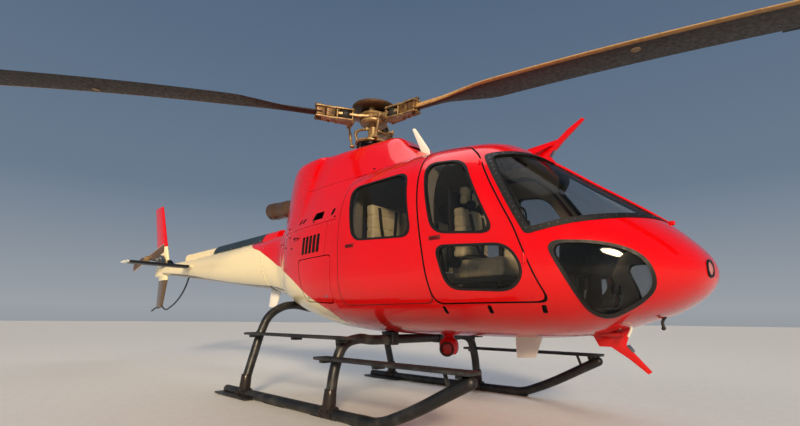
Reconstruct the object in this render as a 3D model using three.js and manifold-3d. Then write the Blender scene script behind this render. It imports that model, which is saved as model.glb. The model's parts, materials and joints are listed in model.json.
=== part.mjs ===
// Light single-engine helicopter on high skids, with a three-blade main rotor.
// Millimetres. +X is towards the nose, +Y to port, +Z up, z = 0 is the ground under the skids.
// Stations are measured from the main rotor's axis; the whole aircraft is then moved along X
// so that the origin lies under the middle of its overall length.

import * as THREE from 'three';
import { mergeVertices } from 'three/addons/utils/BufferGeometryUtils.js';
import Module from 'manifold-3d';

const wasm = await Module();
wasm.setup();

// Driving dimensions
const ROTOR_STATION = 1130; // the rotor axis, ahead of the origin
const ROTOR_RADIUS = 5345;
const BLADE_CHORD = 350;
const MAST_TILT = 3.15; // degrees, forwards
const HUB_HEIGHT = 3260; // centre of the rotor head
const REST_AZIMUTH = 0.5; // degrees, where the forward blade stands
const TAIL_ROTOR = { x: -6665, y: -370, z: 2090, radius: 930, chord: 185, rest: 11 };
const NOSE = 3335;
const BULKHEAD = 440; // back wall of the cabin
const BOOM_JOINT = -1900; // where the tail boom is bolted on
const DECK = 1800; // engine deck and foot of the cowlings
const TRACK = 1120; // half of the distance between the skids
const TUBE = 46; // radius of the skids and cross tubes
const GAP = 0.4; // between pieces that touch
const DOOR_GAP = 9; // round a door that opens
const DOOR_LIP = { thick: 10, width: 25 }; // its outer skin stands past its frame
const SKIN = 35; // wall of the cabin, and thickness of its doors
const BEHIND = 6; // between a door and what is behind it
const FLOOR = { low: 860, high: 920, front: 2640 };
const SIDES = [['port', 1], ['starboard', -1]];

// Finishes: colour, roughness, metalness
const PAINT_RED = [0xc4060a, 0.25, 0.0];
const PAINT_CREAM = [0xe8dcbc, 0.3, 0.0];
const SLATE = [0x2a3540, 0.5, 0.1];
const BLACK = [0x15161a, 0.45, 0.2];
const BLADE_BROWN = [0x33241a, 0.6, 0.0];
const TAN = [0x9a7c4c, 0.5, 0.3];
const STEEL = [0x8a8d90, 0.4, 0.9];
const BURNT = [0x6b4a30, 0.5, 0.8];
const GLASS = [0x20262b, 0.05, 0.0];
const SEAT = [0xcabf9f, 0.8, 0.0];

// Body sections. Columns: station, lowest, widest and highest level, half width,
// the powers of the superellipse below and above the widest level, and how far
// the wall leans inwards for each millimetre above that level.
const CABIN = [
  [BULKHEAD, 700, 1300, 2430, 921, 2.6, 2.8],
  [800, 690, 1300, 2430, 930, 2.6, 2.8],
  [1200, 690, 1300, 2430, 930, 2.6, 2.8],
  [1600, 690, 1300, 2400, 925, 2.6, 2.8],
  [2000, 690, 1280, 2330, 905, 2.6, 2.6],
  [2300, 700, 1260, 2122, 870, 2.5, 2.4],
  [2600, 735, 1230, 1888, 800, 2.4, 2.2],
  [2900, 822, 1200, 1660, 657, 2.3, 2.1],
  [3100, 895, 1178, 1494, 505, 2.2, 2.1],
  [3240, 985, 1160, 1348, 345, 2.1, 2.1],
  [3310, 1065, 1155, 1250, 200, 2.0, 2.0],
  [NOSE, 1125, 1150, 1180, 40, 2.0, 2.0],
];
const REAR = [
  [BOOM_JOINT, 1232, 1700, 2030, 345, 2.2, 2.0],
  [-1450, 1115, 1600, 2120, 370, 2.3, 2.0],
  [-1200, 1065, 1520, 2400, 450, 2.4, 2.0],
  [-1000, 1000, 1480, 2700, 580, 2.5, 2.0],
  [-700, 910, 1420, 2760, 740, 2.6, 2.1],
  [-400, 835, 1380, 2780, 820, 2.7, 2.2],
  [0, 745, 1330, 2780, 885, 2.7, 2.2],
  [BULKHEAD, 700, 1300, 2767, 921, 2.6, 2.2],
];
const COWLS = [
  [-1450, 1000, DECK, 2120, 342, 2, 2.5, 0.1],
  [-1200, 1000, DECK, 2400, 427, 2, 3, 0.12],
  [-1050, 1000, DECK, 2640, 530, 2, 6, 0.13],
  [-940, 1000, DECK, 2752, 596, 2, 12, 0.143],
  [-700, 1000, DECK, 2780, 715, 2, 12, 0.21],
  [-430, 1000, DECK, 2785, 783, 2, 12, 0.289],
  [-330, 1000, DECK, 2785, 804, 2, 12, 0.363],
  [-100, 1000, DECK, 2782, 839, 2, 12, 0.42],
  [190, 1000, DECK, 2780, 867, 2, 12, 0.484],
  [BULKHEAD, 1000, DECK, 2778, 882, 2, 12, 0.539],
  [680, 1000, DECK, 2765, 890, 2, 12, 0.589],
  [850, 1000, DECK, 2640, 894, 2, 8, 0.62],
  [1000, 1000, DECK, 2540, 894, 2, 6, 0.64],
  [1150, 1000, DECK, 2450, 894, 2, 5, 0.66],
];
const BOOM = [
  [-6600, 1765, 1850, 1975, 110, 2, 2],
  [-4800, 1565, 1790, 1985, 170, 2, 2],
  [BOOM_JOINT, 1232, 1700, 2020, 340, 2.2, 2],
];

// Side outlines, x and z of their corners, and the radius that rounds them
const OUTLINE = {
  frontDoor: [[[1400, 2300], [1800, 2255], [1955, 2110], [2316, 1470], [2513, 958], [1648, 958]], 70],
  rearDoor: [[[470, 2200], [1388, 2300], [1636, 958], [546, 958], [505, 1600]], 70],
  upperWindow: [[[1480, 2140], [1850, 2090], [2190, 1440], [1665, 1500]], 95],
  lowerWindow: [[[1690, 1390], [2285, 1350], [2395, 1160], [2300, 1030], [1800, 1060]], 75],
  rearWindow: [[[560, 2105], [1290, 2105], [1450, 1500], [725, 1550]], 110],
  windshield: [[[2409, 1412], [2195, 1785], [2005, 2110], [2330, 2192], [2500, 2260], [3300, 1800], [3150, 1540],
    [2670, 1472]], 20],
  chinWindow: [[[2530, 1345], [2840, 1325], [3045, 1240], [3095, 1060], [2990, 945], [2735, 825], [2665, 1060]], 95],
  lockerDoor: [[[-240, 1445], [395, 1445], [395, 985], [-120, 1015]], 50],
  doorPost: [[[1340, 2500], [1480, 2500], [1700, 880], [1560, 880]], 10],
};

// Shapes

const degrees = (angle) => THREE.MathUtils.degToRad(angle);

/** A closed body through rings of equally many points, with flat ends. */
function loft(rings) {
  const count = rings[0].length;
  const points = rings.flat();
  const faces = [];
  for (let i = 0; i < rings.length - 1; i += 1) {
    for (let k = 0; k < count; k += 1) {
      const a = i * count + k;
      const b = i * count + ((k + 1) % count);
      faces.push(a, b, b + count, a, b + count, a + count);
    }
  }
  const last = (rings.length - 1) * count;
  for (const [start, turn] of [[0, 1], [last, -1]]) {
    for (let k = 1; k < count - 1; k += 1) {
      const pair = turn > 0 ? [start + k + 1, start + k] : [start + k, start + k + 1];
      faces.push(start, ...pair);
    }
  }
  let volume = 0;
  const cross = new THREE.Vector3();
  for (let i = 0; i < faces.length; i += 3) {
    const [a, b, c] = [points[faces[i]], points[faces[i + 1]], points[faces[i + 2]]];
    volume += a.dot(cross.crossVectors(b, c));
  }
  if (volume < 0) faces.reverse();
  const geometry = new THREE.BufferGeometry().setFromPoints(points);
  geometry.setIndex(faces);
  return geometry;
}

/** Turns a closed geometry into a solid that can be cut and joined. */
function solid(geometry) {
  const plain = geometry.clone();
  plain.deleteAttribute('normal');
  plain.deleteAttribute('uv');
  const merged = mergeVertices(plain, 1e-3);
  return new wasm.Manifold(new wasm.Mesh({
    numProp: 3,
    vertProperties: new Float32Array(merged.attributes.position.array),
    triVerts: new Uint32Array(merged.index.array),
  }));
}

/** Turns a solid back into a geometry. */
function geometryOf(body) {
  const mesh = body.getMesh();
  const geometry = new THREE.BufferGeometry();
  geometry.setAttribute('position', new THREE.BufferAttribute(mesh.vertProperties, 3));
  geometry.setIndex(new THREE.BufferAttribute(mesh.triVerts, 1));
  return geometry;
}

const join = (...bodies) => bodies.reduce((whole, body) => whole.add(body));
const cut = (whole, ...bodies) => bodies.reduce((rest, body) => rest.subtract(body), whole);

/** A box between two corners. */
function box(low, high) {
  const size = high.map((value, i) => value - low[i]);
  const middle = high.map((value, i) => (value + low[i]) / 2);
  return solid(new THREE.BoxGeometry(...size).translate(...middle));
}

/** A round bar along an axis: 'x', 'y' or 'z'. */
function bar(axis, radius, from, to, [u, v], sides = 24, endRadius = radius) {
  const cylinder = new THREE.CylinderGeometry(endRadius, radius, to - from, sides);
  cylinder.translate(0, (to + from) / 2, 0);
  if (axis === 'x') cylinder.rotateZ(-Math.PI / 2).translate(0, u, v);
  if (axis === 'y') cylinder.translate(u, 0, v);
  if (axis === 'z') cylinder.rotateX(Math.PI / 2).translate(u, v, 0);
  return solid(cylinder);
}

/** A tube or rod that follows a path of points. */
function sweep(points, radius, sides = 12, steps = points.length * 3) {
  const curve = new THREE.CatmullRomCurve3(points.map((p) => new THREE.Vector3(...p)), false, 'centripetal');
  const frames = curve.computeFrenetFrames(steps, false);
  const rings = [];
  for (let i = 0; i <= steps; i += 1) {
    const centre = curve.getPointAt(i / steps);
    rings.push(Array.from({ length: sides }, (_, k) => {
      const turn = (2 * Math.PI * (k + 0.5)) / sides;
      return centre.clone()
        .addScaledVector(frames.normals[i], radius * Math.cos(turn))
        .addScaledVector(frames.binormals[i], radius * Math.sin(turn));
    }));
  }
  return solid(loft(rings));
}

/** A polygon with its edges moved out by grow and its corners rounded. */
function roundedOutline([corners, radius], grow = 0) {
  const n = corners.length;
  const area = corners.reduce((sum, [x, z], i) => {
    const [nextX, nextZ] = corners[(i + 1) % n];
    return sum + x * nextZ - nextX * z;
  }, 0);
  const side = Math.sign(area) * grow;
  const edges = corners.map(([x, z], i) => {
    const [nextX, nextZ] = corners[(i + 1) % n];
    const length = Math.hypot(nextX - x, nextZ - z);
    const along = [(nextX - x) / length, (nextZ - z) / length];
    return { start: [x + along[1] * side, z - along[0] * side], along };
  });
  const moved = edges.map((edge, i) => {
    const before = edges[(i + n - 1) % n];
    const det = before.along[0] * edge.along[1] - before.along[1] * edge.along[0];
    const dx = edge.start[0] - before.start[0];
    const dz = edge.start[1] - before.start[1];
    const t = (dx * edge.along[1] - dz * edge.along[0]) / det;
    return new THREE.Vector2(before.start[0] + before.along[0] * t, before.start[1] + before.along[1] * t);
  });
  const points = [];
  moved.forEach((corner, i) => {
    const toward = [moved[(i + n - 1) % n], moved[(i + 1) % n]].map((other) => {
      const reach = Math.min(radius, corner.distanceTo(other) * 0.45);
      return corner.clone().lerp(other, reach / corner.distanceTo(other));
    });
    const steps = radius > 30 ? 2 : 1;
    for (let k = 0; k <= steps; k += 1) {
      const t = k / steps;
      points.push(toward[0].clone().multiplyScalar((1 - t) ** 2)
        .addScaledVector(corner, 2 * t * (1 - t))
        .addScaledVector(toward[1], t ** 2));
    }
  });
  return points;
}

/** A side outline as a prism across one side of the body. */
function prism(name, side, grow = 0, inner = 25, outer = 1300) {
  const points = roundedOutline(OUTLINE[name], grow);
  return solid(loft([inner, outer].map((y) => points.map((p) => new THREE.Vector3(p.x, y * side, p.y)))));
}

/** One row of a section table at any station, by a smooth curve through the rows. */
function rowAt(table, x) {
  const rows = [...table].sort((a, b) => a[0] - b[0]);
  const last = rows.length - 1;
  let i = rows.findIndex((row) => row[0] > x) - 1;
  if (x <= rows[0][0]) i = 0;
  if (x >= rows[last][0]) i = last - 1;
  const [low, high] = [rows[i], rows[i + 1]];
  const span = high[0] - low[0];
  const t = THREE.MathUtils.clamp((x - low[0]) / span, 0, 1);
  const slope = (j, column) => {
    const a = rows[Math.max(j - 1, 0)];
    const b = rows[Math.min(j + 1, last)];
    return (b[column] - a[column]) / (b[0] - a[0]);
  };
  return low.map((value, column) => {
    if (column === 0) return x;
    const step = high[column] - value;
    const start = slope(i, column) * span;
    const end = slope(i + 1, column) * span;
    return value + start * t + (3 * step - 2 * start - end) * t ** 2 + (start + end - 2 * step) * t ** 3;
  });
}

/** The ring of a section, its wall moved inwards by inset. */
function ring(table, x, inset = 0, count = 32) {
  const nose = table === CABIN ? 0.8 * inset : 0;
  const [, low, wide, high, half, lowPower, topPower, lean = 0] = rowAt(table, x + nose);
  return Array.from({ length: count }, (_, k) => {
    const turn = (2 * Math.PI * k) / count;
    const [c, s] = [Math.cos(turn), Math.sin(turn)];
    const power = 2 / (s >= 0 ? topPower : lowPower);
    const reach = s >= 0 ? high - inset - wide : wide - low - inset;
    const z = wide + reach * Math.sign(s) * Math.abs(s) ** power;
    const y = (half - inset - lean * Math.max(z - wide, 0)) * Math.sign(c) * Math.abs(c) ** power;
    return new THREE.Vector3(x, y, z);
  });
}

/** A body through a section table between two stations. */
function hull(table, from, to, inset, pitch, count) {
  const steps = Math.max(1, Math.round((to - from) / pitch));
  const stations = Array.from({ length: steps + 1 }, (_, i) => from + ((to - from) * i) / steps);
  return solid(loft(stations.map((x) => ring(table, x, inset, count))));
}

/** A cabin body: close stations at the nose, wide ones along the doors. */
function cabinHull(inset, back = BULKHEAD) {
  const count = inset >= SKIN ? 20 : 32;
  const stations = [back, 1000, 1400, 1700, 2000, 2200, 2400, 2600, 2800, 2950, 3100, 3200, 3270];
  const tip = inset > 0 ? [] : [3312, NOSE];
  return solid(loft([...stations.filter((x) => x + 0.8 * inset < 3290), ...tip].map((x) => ring(CABIN, x, inset, count))));
}

/** A thin aerofoil: 12 points, from nose to tail, its thickness across the chord. */
function aerofoil(thickness) {
  const upper = [[0, 0], [0.06, 0.8], [0.3, 1], [0.6, 0.7], [0.85, 0.28], [1, 0.04]];
  const lower = upper.slice(1).reverse().map(([along, across]) => [along, -across]);
  return [...upper, ...lower].map(([along, across]) => [along, (across * thickness) / 2]);
}

const parts = new THREE.Group();

/** Adds one named piece to a group. */
function add(name, body, [color, roughness, metalness], group = parts) {
  const material = new THREE.MeshStandardMaterial({ color, roughness, metalness });
  const mesh = new THREE.Mesh(body.isBufferGeometry ? body : geometryOf(body), material);
  mesh.name = name;
  group.add(mesh);
  return mesh;
}

// Cabin

const cabinOuter = cabinHull(0);
const cabinInner = cabinHull(SKIN, BULKHEAD + SKIN);
const cabinSkin = cabinOuter.subtract(cabinHull(SKIN, BULKHEAD - 50));
const behindDoors = cabinHull(SKIN + BEHIND, BULKHEAD - 50);
const paneFront = cabinHull(9);
const paneBack = cabinHull(15);

/** What a door or window takes out of the body, down to the depth of its back. */
const opening = (name, side, grow) => prism(name, side, grow).subtract(behindDoors);
/** A pane of glass in a window. */
const pane = (name, side) => paneFront.subtract(paneBack).intersect(prism(name, side, -GAP, 25.4));

/** A front door: a frame of the full thickness with a thin lip round it. */
function frontDoor(side) {
  const lip = cabinOuter.subtract(cabinHull(DOOR_LIP.thick)).intersect(prism('frontDoor', side));
  return join(lip, cabinSkin.intersect(prism('frontDoor', side, -DOOR_LIP.width)));
}

function cabinShell() {
  const floor = box([BULKHEAD + 5, -900, FLOOR.low], [FLOOR.front, 900, FLOOR.high]).intersect(cabinHull(SKIN - 5));
  let shell = join(cabinOuter.subtract(cabinInner), floor);
  for (const [, side] of SIDES) {
    const post = cabinHull(SKIN - 5).subtract(cabinHull(SKIN + 60)).intersect(prism('doorPost', side));
    shell = join(shell, post);
  }
  for (const [, side] of SIDES) {
    shell = cut(
      shell,
      opening('frontDoor', side, DOOR_GAP),
      opening('rearDoor', side, GAP),
      opening('windshield', side, 0),
      opening('chinWindow', side, 0),
    );
  }
  return shell;
}

add('cabin_shell', cabinShell(), PAINT_RED);
for (const [label, side] of SIDES) {
  add(`front_door_${label}`, cut(frontDoor(side), prism('upperWindow', side), prism('lowerWindow', side)), PAINT_RED);
  add(`door_upper_glass_${label}`, pane('upperWindow', side), GLASS);
  add(`door_lower_glass_${label}`, pane('lowerWindow', side), GLASS);
  const rearDoor = cabinSkin.intersect(prism('rearDoor', side)).subtract(prism('frontDoor', side, DOOR_GAP));
  add(`sliding_door_${label}`, rearDoor.subtract(prism('rearWindow', side)), PAINT_RED);
  add(`sliding_door_glass_${label}`, pane('rearWindow', side), GLASS);
  add(`windshield_${label}`, pane('windshield', side), GLASS);
  add(`chin_window_${label}`, pane('chinWindow', side), GLASS);
}

// Cross tubes of the landing gear, which the belly and the skids are cut for

const TUBE_SIDES = 10;
const GEAR = { rearTube: -735, frontTube: 710, rearEnd: -1130, bend: 1400, toe: [2140, 432] };

/** One arched cross tube, from foot to foot. Columns of rows: y and z. */
function crossTube(x, rows, grow = 0) {
  const path = [...rows.map(([y, z]) => [x, -y, z]), ...[...rows].reverse().map(([y, z]) => [x, y, z])];
  return sweep(path, TUBE + grow, TUBE_SIDES, 24);
}
const rearArch = [[1128, 130], [1040, 436], [945, 730], [880, 850], [742, 950], [570, 990], [300, 960]];
const frontArch = [[1118, 130], [1046, 480], [975, 600], [815, 652], [640, 640], [300, 640]];

// Rear body, lockers and cowlings

const WALL = 25;
const COWL = { front: 1150, split: -430, rear: -1450, wall: 18, roof: 2200 };
const GRILLE = { front: 190, back: -180, low: 1500, high: 1690, slots: 5 };
const rearOuter = hull(REAR, BOOM_JOINT + GAP, BULKHEAD - GAP, 0, 240, 28);
const rearInner = hull(REAR, BOOM_JOINT - 60, BULKHEAD - WALL, WALL, 300, 20);
const below = (level) => box([-2500, -1200, 0], [1600, 1200, level]);
const grillePitch = (GRILLE.front - GRILLE.back) / GRILLE.slots;

function rearBody() {
  const engineBay = box([COWL.rear - GAP, -1200, DECK], [1600, 1200, 3200]);
  const bayFloor = box([COWL.rear - 30, -1200, DECK - WALL], [1600, 1200, 3200]);
  const tubeTunnel = crossTube(GEAR.rearTube, rearArch, 4);
  let shell = cut(rearOuter, engineBay, rearInner.subtract(bayFloor), tubeTunnel);
  for (const [, side] of SIDES) {
    shell = shell.subtract(prism('lockerDoor', side, DOOR_GAP, 300));
    for (let i = 0; i < GRILLE.slots; i += 1) {
      const x = GRILLE.back + grillePitch * (i + 0.2);
      const [near, far] = side > 0 ? [700, 1000] : [-1000, -700];
      shell = shell.subtract(box([x, near, GRILLE.low], [x + grillePitch * 0.6, far, GRILLE.high]));
    }
  }
  return shell;
}

add('rear_body', rearBody(), PAINT_RED);
for (const [label, side] of SIDES) {
  add(`locker_door_${label}`, rearOuter.subtract(rearInner).intersect(prism('lockerDoor', side, 0, 300)), PAINT_RED);
}

const EXHAUST = { front: -1060, back: -2250, level: 2389, rise: 0.07, radius: 125, wall: 8 };
const MAST_HOLE = 250;
const INTAKE = { back: 760, front: 1500, half: 330, low: 2470, high: 2600 };
const SIDE_INTAKE = { back: -45, front: 136, low: 1858, high: 1945 };

/** The cowlings as one body, with a ring at each row of their table. */
function cowlHull(inset, rear = COWL.rear, front = COWL.front) {
  const between = COWLS.map(([x]) => x).filter((x) => x > rear + 5 && x < front - 5);
  return solid(loft([rear, ...between, front].map((x) => ring(COWLS, x, inset, 28))));
}

/** A round length of the exhaust's axis. */
function exhaustBar(front, back, radius) {
  const path = [front, back].map((x) => [x, 0, EXHAUST.level + (EXHAUST.front - x) * EXHAUST.rise]);
  return sweep(path, radius, 20, 2);
}

function cowling() {
  let shell = cut(
    cowlHull(0),
    below(DECK + GAP),
    cowlHull(COWL.wall, COWL.rear + 30, COWL.front - 60),
    box([BULKHEAD - 1, -1000, 0], [1700, 1000, COWL.roof]),
    cabinHull(-1, BULKHEAD - 1),
    bar('z', MAST_HOLE, 2550, 3000, [20, 0]),
    box([INTAKE.back, -INTAKE.half, INTAKE.low], [INTAKE.front, INTAKE.half, INTAKE.high]),
    exhaustBar(EXHAUST.front + 30, EXHAUST.back, EXHAUST.radius + 12),
  );
  for (const [, side] of SIDES) {
    const [near, far] = side > 0 ? [700, 1000] : [-1000, -700];
    shell = shell.subtract(box([SIDE_INTAKE.back, near, SIDE_INTAKE.low], [SIDE_INTAKE.front, far, SIDE_INTAKE.high]));
  }
  return shell;
}

const wholeCowl = cowling();
const aheadOfSplit = box([COWL.split + GAP, -1200, 1000], [1600, 1200, 3200]);
const behindSplit = box([-2500, -1200, 1000], [COWL.split - GAP, 1200, 3200]);
add('transmission_cowling', wholeCowl.intersect(aheadOfSplit), PAINT_RED);
add('engine_cowling', wholeCowl.intersect(behindSplit), PAINT_RED);
add('engine', join(
  box([-1040, -220, DECK + 60], [-330, 220, 2300]),
  box([-950, -170, DECK + GAP], [-420, 170, DECK + 80]),
), STEEL);
add('exhaust_pipe', exhaustBar(EXHAUST.front, EXHAUST.back, EXHAUST.radius)
  .subtract(exhaustBar(EXHAUST.front - 40, EXHAUST.back - 100, EXHAUST.radius - EXHAUST.wall)), BURNT);

// Tail

const boomShape = (grow) => hull(BOOM, -6600, BOOM_JOINT - GAP, -grow, 950, 20);
const boomOuter = boomShape(0);
const aroundBoom = boomShape(GAP);
const boomInner = hull(BOOM, -6560, BOOM_JOINT + 60, 12, 950, 20);
const STABILISER = { front: -4790, back: -5220, level: 1800, thick: 62, reach: 1265 };

/** A straight or tapered surface. Columns: across, front, back and thickness. */
function surface(rows, place) {
  return solid(loft(rows.map(([across, front, back, thick]) => aerofoil(thick)
    .map(([along, off]) => place(front + (back - front) * along, off, across)))));
}
const upright = (x, off, level) => new THREE.Vector3(x, off, level);
const level = (x, off, y) => new THREE.Vector3(x, y, STABILISER.level + off);

const stabiliser = surface([
  [-STABILISER.reach, STABILISER.front, STABILISER.back, STABILISER.thick],
  [STABILISER.reach, STABILISER.front, STABILISER.back, STABILISER.thick],
], level);
const stabiliserSlot = surface([
  [-600, STABILISER.front + 4, STABILISER.back - 8, STABILISER.thick + 4],
  [600, STABILISER.front + 4, STABILISER.back - 8, STABILISER.thick + 4],
], level);

add('tail_boom', cut(boomOuter, boomInner, stabiliserSlot), PAINT_CREAM);
add('stabiliser', stabiliser, BLACK);

const COVER_SLANT = { level: 2060, slope: 0.9 }; // the joints of the covers lean forwards

/** A cover over the tail drive shaft. Columns: station, top level, half width, slope of that end. */
function shaftCover(rows) {
  return solid(loft(rows.map(([x, top, half, slope]) => {
    const foot = rowAt(BOOM, x)[3] - 60;
    return [[-half, foot], [-half, top - 40], [-half * 0.55, top], [half * 0.55, top], [half, top - 40], [half, foot]]
      .map(([y, z]) => new THREE.Vector3(x + slope * (z - COVER_SLANT.level), y, z));
  }))).subtract(aroundBoom);
}

add('shaft_cover_front', shaftCover([[BOOM_JOINT - GAP, 2140, 120, 0], [-2296, 2138, 110, COVER_SLANT.slope]]), PAINT_RED);
add('shaft_cover_middle', shaftCover([[-2302, 2136, 110, COVER_SLANT.slope], [-4012, 2116, 90, COVER_SLANT.slope]]), SLATE);
add('shaft_cover_rear', shaftCover([[-4018, 2108, 60, COVER_SLANT.slope], [-5450, 2098, 50, 0]]), PAINT_CREAM);

/** Both fins and the post that joins them at the end of the boom. */
function finBody(grow) {
  return join(
    surface([[1955, -6440 + grow, -7140 - grow, 90 + grow], [3390, -7095 + grow, -7605 - grow, 55 + grow]], upright),
    box([-7150, -50, 1740], [-6600 - GAP + grow, 50, 1960]),
    surface([[1745, -6480 + grow, -7030 - grow, 80 + grow], [1060, -6680 + grow, -7050 - grow, 50 + grow]], upright),
  );
}

const finGap = finBody(2 * GAP);
add('tail_fin', finBody(0).subtract(aroundBoom), PAINT_CREAM);
const guardPath = [[-5330, 0, 1640], [-5560, 0, 1400], [-5850, 0, 1190], [-6200, 0, 1030], [-6480, 0, 1010],
  [-6640, 0, 1075]];
add('tail_guard', sweep(guardPath, 17, 8, 14).subtract(join(aroundBoom, finGap)), BLACK);

// Tail rotor, its gearbox and its shaft

const tail = new THREE.Group();
tail.position.set(TAIL_ROTOR.x, TAIL_ROTOR.y, TAIL_ROTOR.z);
tail.rotation.y = degrees(-TAIL_ROTOR.rest);
parts.add(tail);

function tailRotor() {
  const blade = (turn) => {
    const root = 210;
    return solid(loft([[130, 60, 26], [root, 90, 24], [330, TAIL_ROTOR.chord, 20], [TAIL_ROTOR.radius, TAIL_ROTOR.chord, 14]]
      .map(([out, chord, thick]) => aerofoil(thick)
        .map(([along, off]) => new THREE.Vector3(turn * out, off, turn * chord * (0.3 - along))))));
  };
  return join(
    bar('y', 62, -60, 60, [0, 0], 16),
    box([-190, -16, -34], [190, 16, 34]),
    blade(1),
    blade(-1),
  );
}

add('tail_rotor', tailRotor(), BLADE_BROWN, tail);
const gearboxTop = TAIL_ROTOR.z;
add('tail_gearbox', cut(
  join(
    bar('y', 34, TAIL_ROTOR.y + 60 + GAP, -60, [TAIL_ROTOR.x, gearboxTop], 16),
    bar('y', 105, -190, -55, [TAIL_ROTOR.x, gearboxTop], 16),
    box([-6800, -185, 1990], [-6520, -52, 2120]),
  ),
  finGap,
  aroundBoom,
), STEEL);

// Main rotor

const rotor = new THREE.Group();
rotor.position.set(0, 0, HUB_HEIGHT);
rotor.rotation.y = degrees(MAST_TILT);
parts.add(rotor);
const spin = new THREE.Group();
spin.rotation.z = degrees(REST_AZIMUTH);
rotor.add(spin);

const BLADE_ROOT = 640;
const BLADE_STATIONS = [
  // Columns: radius, chord, thickness, as parts of the full chord
  [BLADE_ROOT, 0.3, 0.2], [900, 0.3, 0.19], [1100, 0.36, 0.175], [1400, 0.78, 0.14], [1600, 1, 0.12],
  [2400, 1, 0.12], [3200, 1, 0.11], [4000, 1, 0.1], [4800, 1, 0.095], [ROTOR_RADIUS, 1, 0.09],
];
const BLADE_DROOP = 395; // at the tip, from its own weight
const BLADE_SLOPE = -0.012;
const TWIST = { root: 7, tip: -3 }; // degrees, nose up

function blade() {
  return solid(loft(BLADE_STATIONS.map(([radius, chord, thick]) => {
    const sag = BLADE_SLOPE * radius - BLADE_DROOP * (radius / ROTOR_RADIUS) ** 2;
    const pitch = degrees(TWIST.root + ((TWIST.tip - TWIST.root) * radius) / ROTOR_RADIUS);
    return aerofoil(BLADE_CHORD * thick).map(([along, off]) => {
      const behind = BLADE_CHORD * chord * (along - 0.3);
      const y = behind * Math.cos(pitch) + off * Math.sin(pitch);
      const z = off * Math.cos(pitch) - behind * Math.sin(pitch);
      return new THREE.Vector3(radius, y, z + sag);
    });
  })));
}

const bladeShape = blade();
for (let i = 0; i < 3; i += 1) {
  const arm = new THREE.Group();
  arm.rotation.z = degrees(120 * i);
  spin.add(arm);
  add(`main_blade_${i + 1}`, geometryOf(bladeShape), BLADE_BROWN, arm);
}

/** A piece repeated three times round the mast. */
function threeArms(make) {
  const one = make();
  return join(...[0, 120, 240].map((turn) => solid(geometryOf(one).rotateZ(degrees(turn)))));
}

function rotorHead() {
  const star = join(bar('z', 165, -70, 60, [0, 0], 18), threeArms(() => box([0, -70, -18], [480, 70, 18])));
  const sleeve = join(
    box([250, -90, 42], [BLADE_ROOT + 80, 90, 62]),
    box([250, -90, -82], [BLADE_ROOT + 80, 90, -62]),
    box([470, -60, -70], [BLADE_ROOT - GAP, 60, 50]),
    box([250, -175, -72], [300, -80, -40]),
  );
  const dome = solid(new THREE.LatheGeometry(
    [[0, 118], [180, 104], [262, 125], [272, 150], [235, 176], [0, 190]].map(([r, z]) => new THREE.Vector2(r, z)),
    24,
  ).rotateX(Math.PI / 2));
  return join(star, threeArms(() => sleeve), bar('z', 60, -40, 130, [0, 0], 12), dome);
}

function swashplate() {
  const ringPlate = bar('z', 205, -330, -290, [0, 0], 24).subtract(bar('z', 118, -340, -280, [0, 0], 24));
  const rod = () => join(
    box([180, -200, -322], [240, -130, -298]),
    bar('z', 14, -310, -50, [225, -165], 8),
    box([205, -180, -72], [300, -150, -44]),
  );
  return join(ringPlate, threeArms(rod), bar('z', 78, -420, -60, [0, 0], 16), threeArms(() => box([60, -16, -325], [150, 16, -300])));
}

add('rotor_head', join(rotorHead(), swashplate()), TAN, spin);
add('mast_housing', join(
  bar('z', 150, -900, -560, [0, 0], 24, 110),
  bar('z', 110, -565, -430, [0, 0], 24),
  bar('z', 230, -1350, -895, [0, 0], 24),
), STEEL, rotor);

// Landing gear

/** One skid with its foot plate and cross tube clamps, its walls moved out by grow. */
function skid(side, grow = 0) {
  const y = side * TRACK;
  const [toeX, toeZ] = GEAR.toe;
  const runner = sweep([[GEAR.rearEnd, y, TUBE], [0, y, TUBE], [GEAR.bend - 150, y, TUBE],
    [GEAR.bend + 70, y, TUBE + 60], [toeX, y, toeZ]], TUBE + grow, TUBE_SIDES, 13);
  const flat = box([GEAR.rearEnd - 60, y - 120, 6], [GEAR.rearEnd + 620, y + 120, 26 + grow]);
  const feet = [GEAR.rearTube, GEAR.frontTube].map((x) => bar('x', TUBE + 9 + grow, x - 75, x + 75, [y, TUBE + 3], 14));
  const ground = box([-3000, -3000, -200], [4000, 3000, 0]);
  return cut(join(runner, flat, ...feet), ground);
}

for (const [label, side] of SIDES) add(`skid_${label}`, skid(side), BLACK);
const aroundSkids = join(...SIDES.map(([, side]) => skid(side, GAP)));
const nearBody = cabinHull(-3);
const frontCross = crossTube(GEAR.frontTube, frontArch);
const saddles = join(
  box([GEAR.frontTube - 60, -420, 620], [GEAR.frontTube + 60, -330, 760]),
  box([GEAR.frontTube - 60, 330, 620], [GEAR.frontTube + 60, 420, 760]),
);
add('front_cross_tube', cut(join(frontCross, saddles), aroundSkids, nearBody), BLACK);
add('rear_cross_tube', cut(crossTube(GEAR.rearTube, rearArch), aroundSkids), BLACK);
const aroundTubes = join(crossTube(GEAR.rearTube, rearArch, GAP), crossTube(GEAR.frontTube, frontArch, GAP));

const STEP = { near: 985, wide: 150, thick: 28, upper: 655, lower: 480, outboard: 60 };

/** A box on one side of the aircraft, its across values counted outboard from the middle. */
function sideBox(side, [x0, near, z0], [x1, far, z1]) {
  const across = [near * side, far * side].sort((p, q) => p - q);
  return box([x0, across[0], z0], [x1, across[1], z1]);
}

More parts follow.
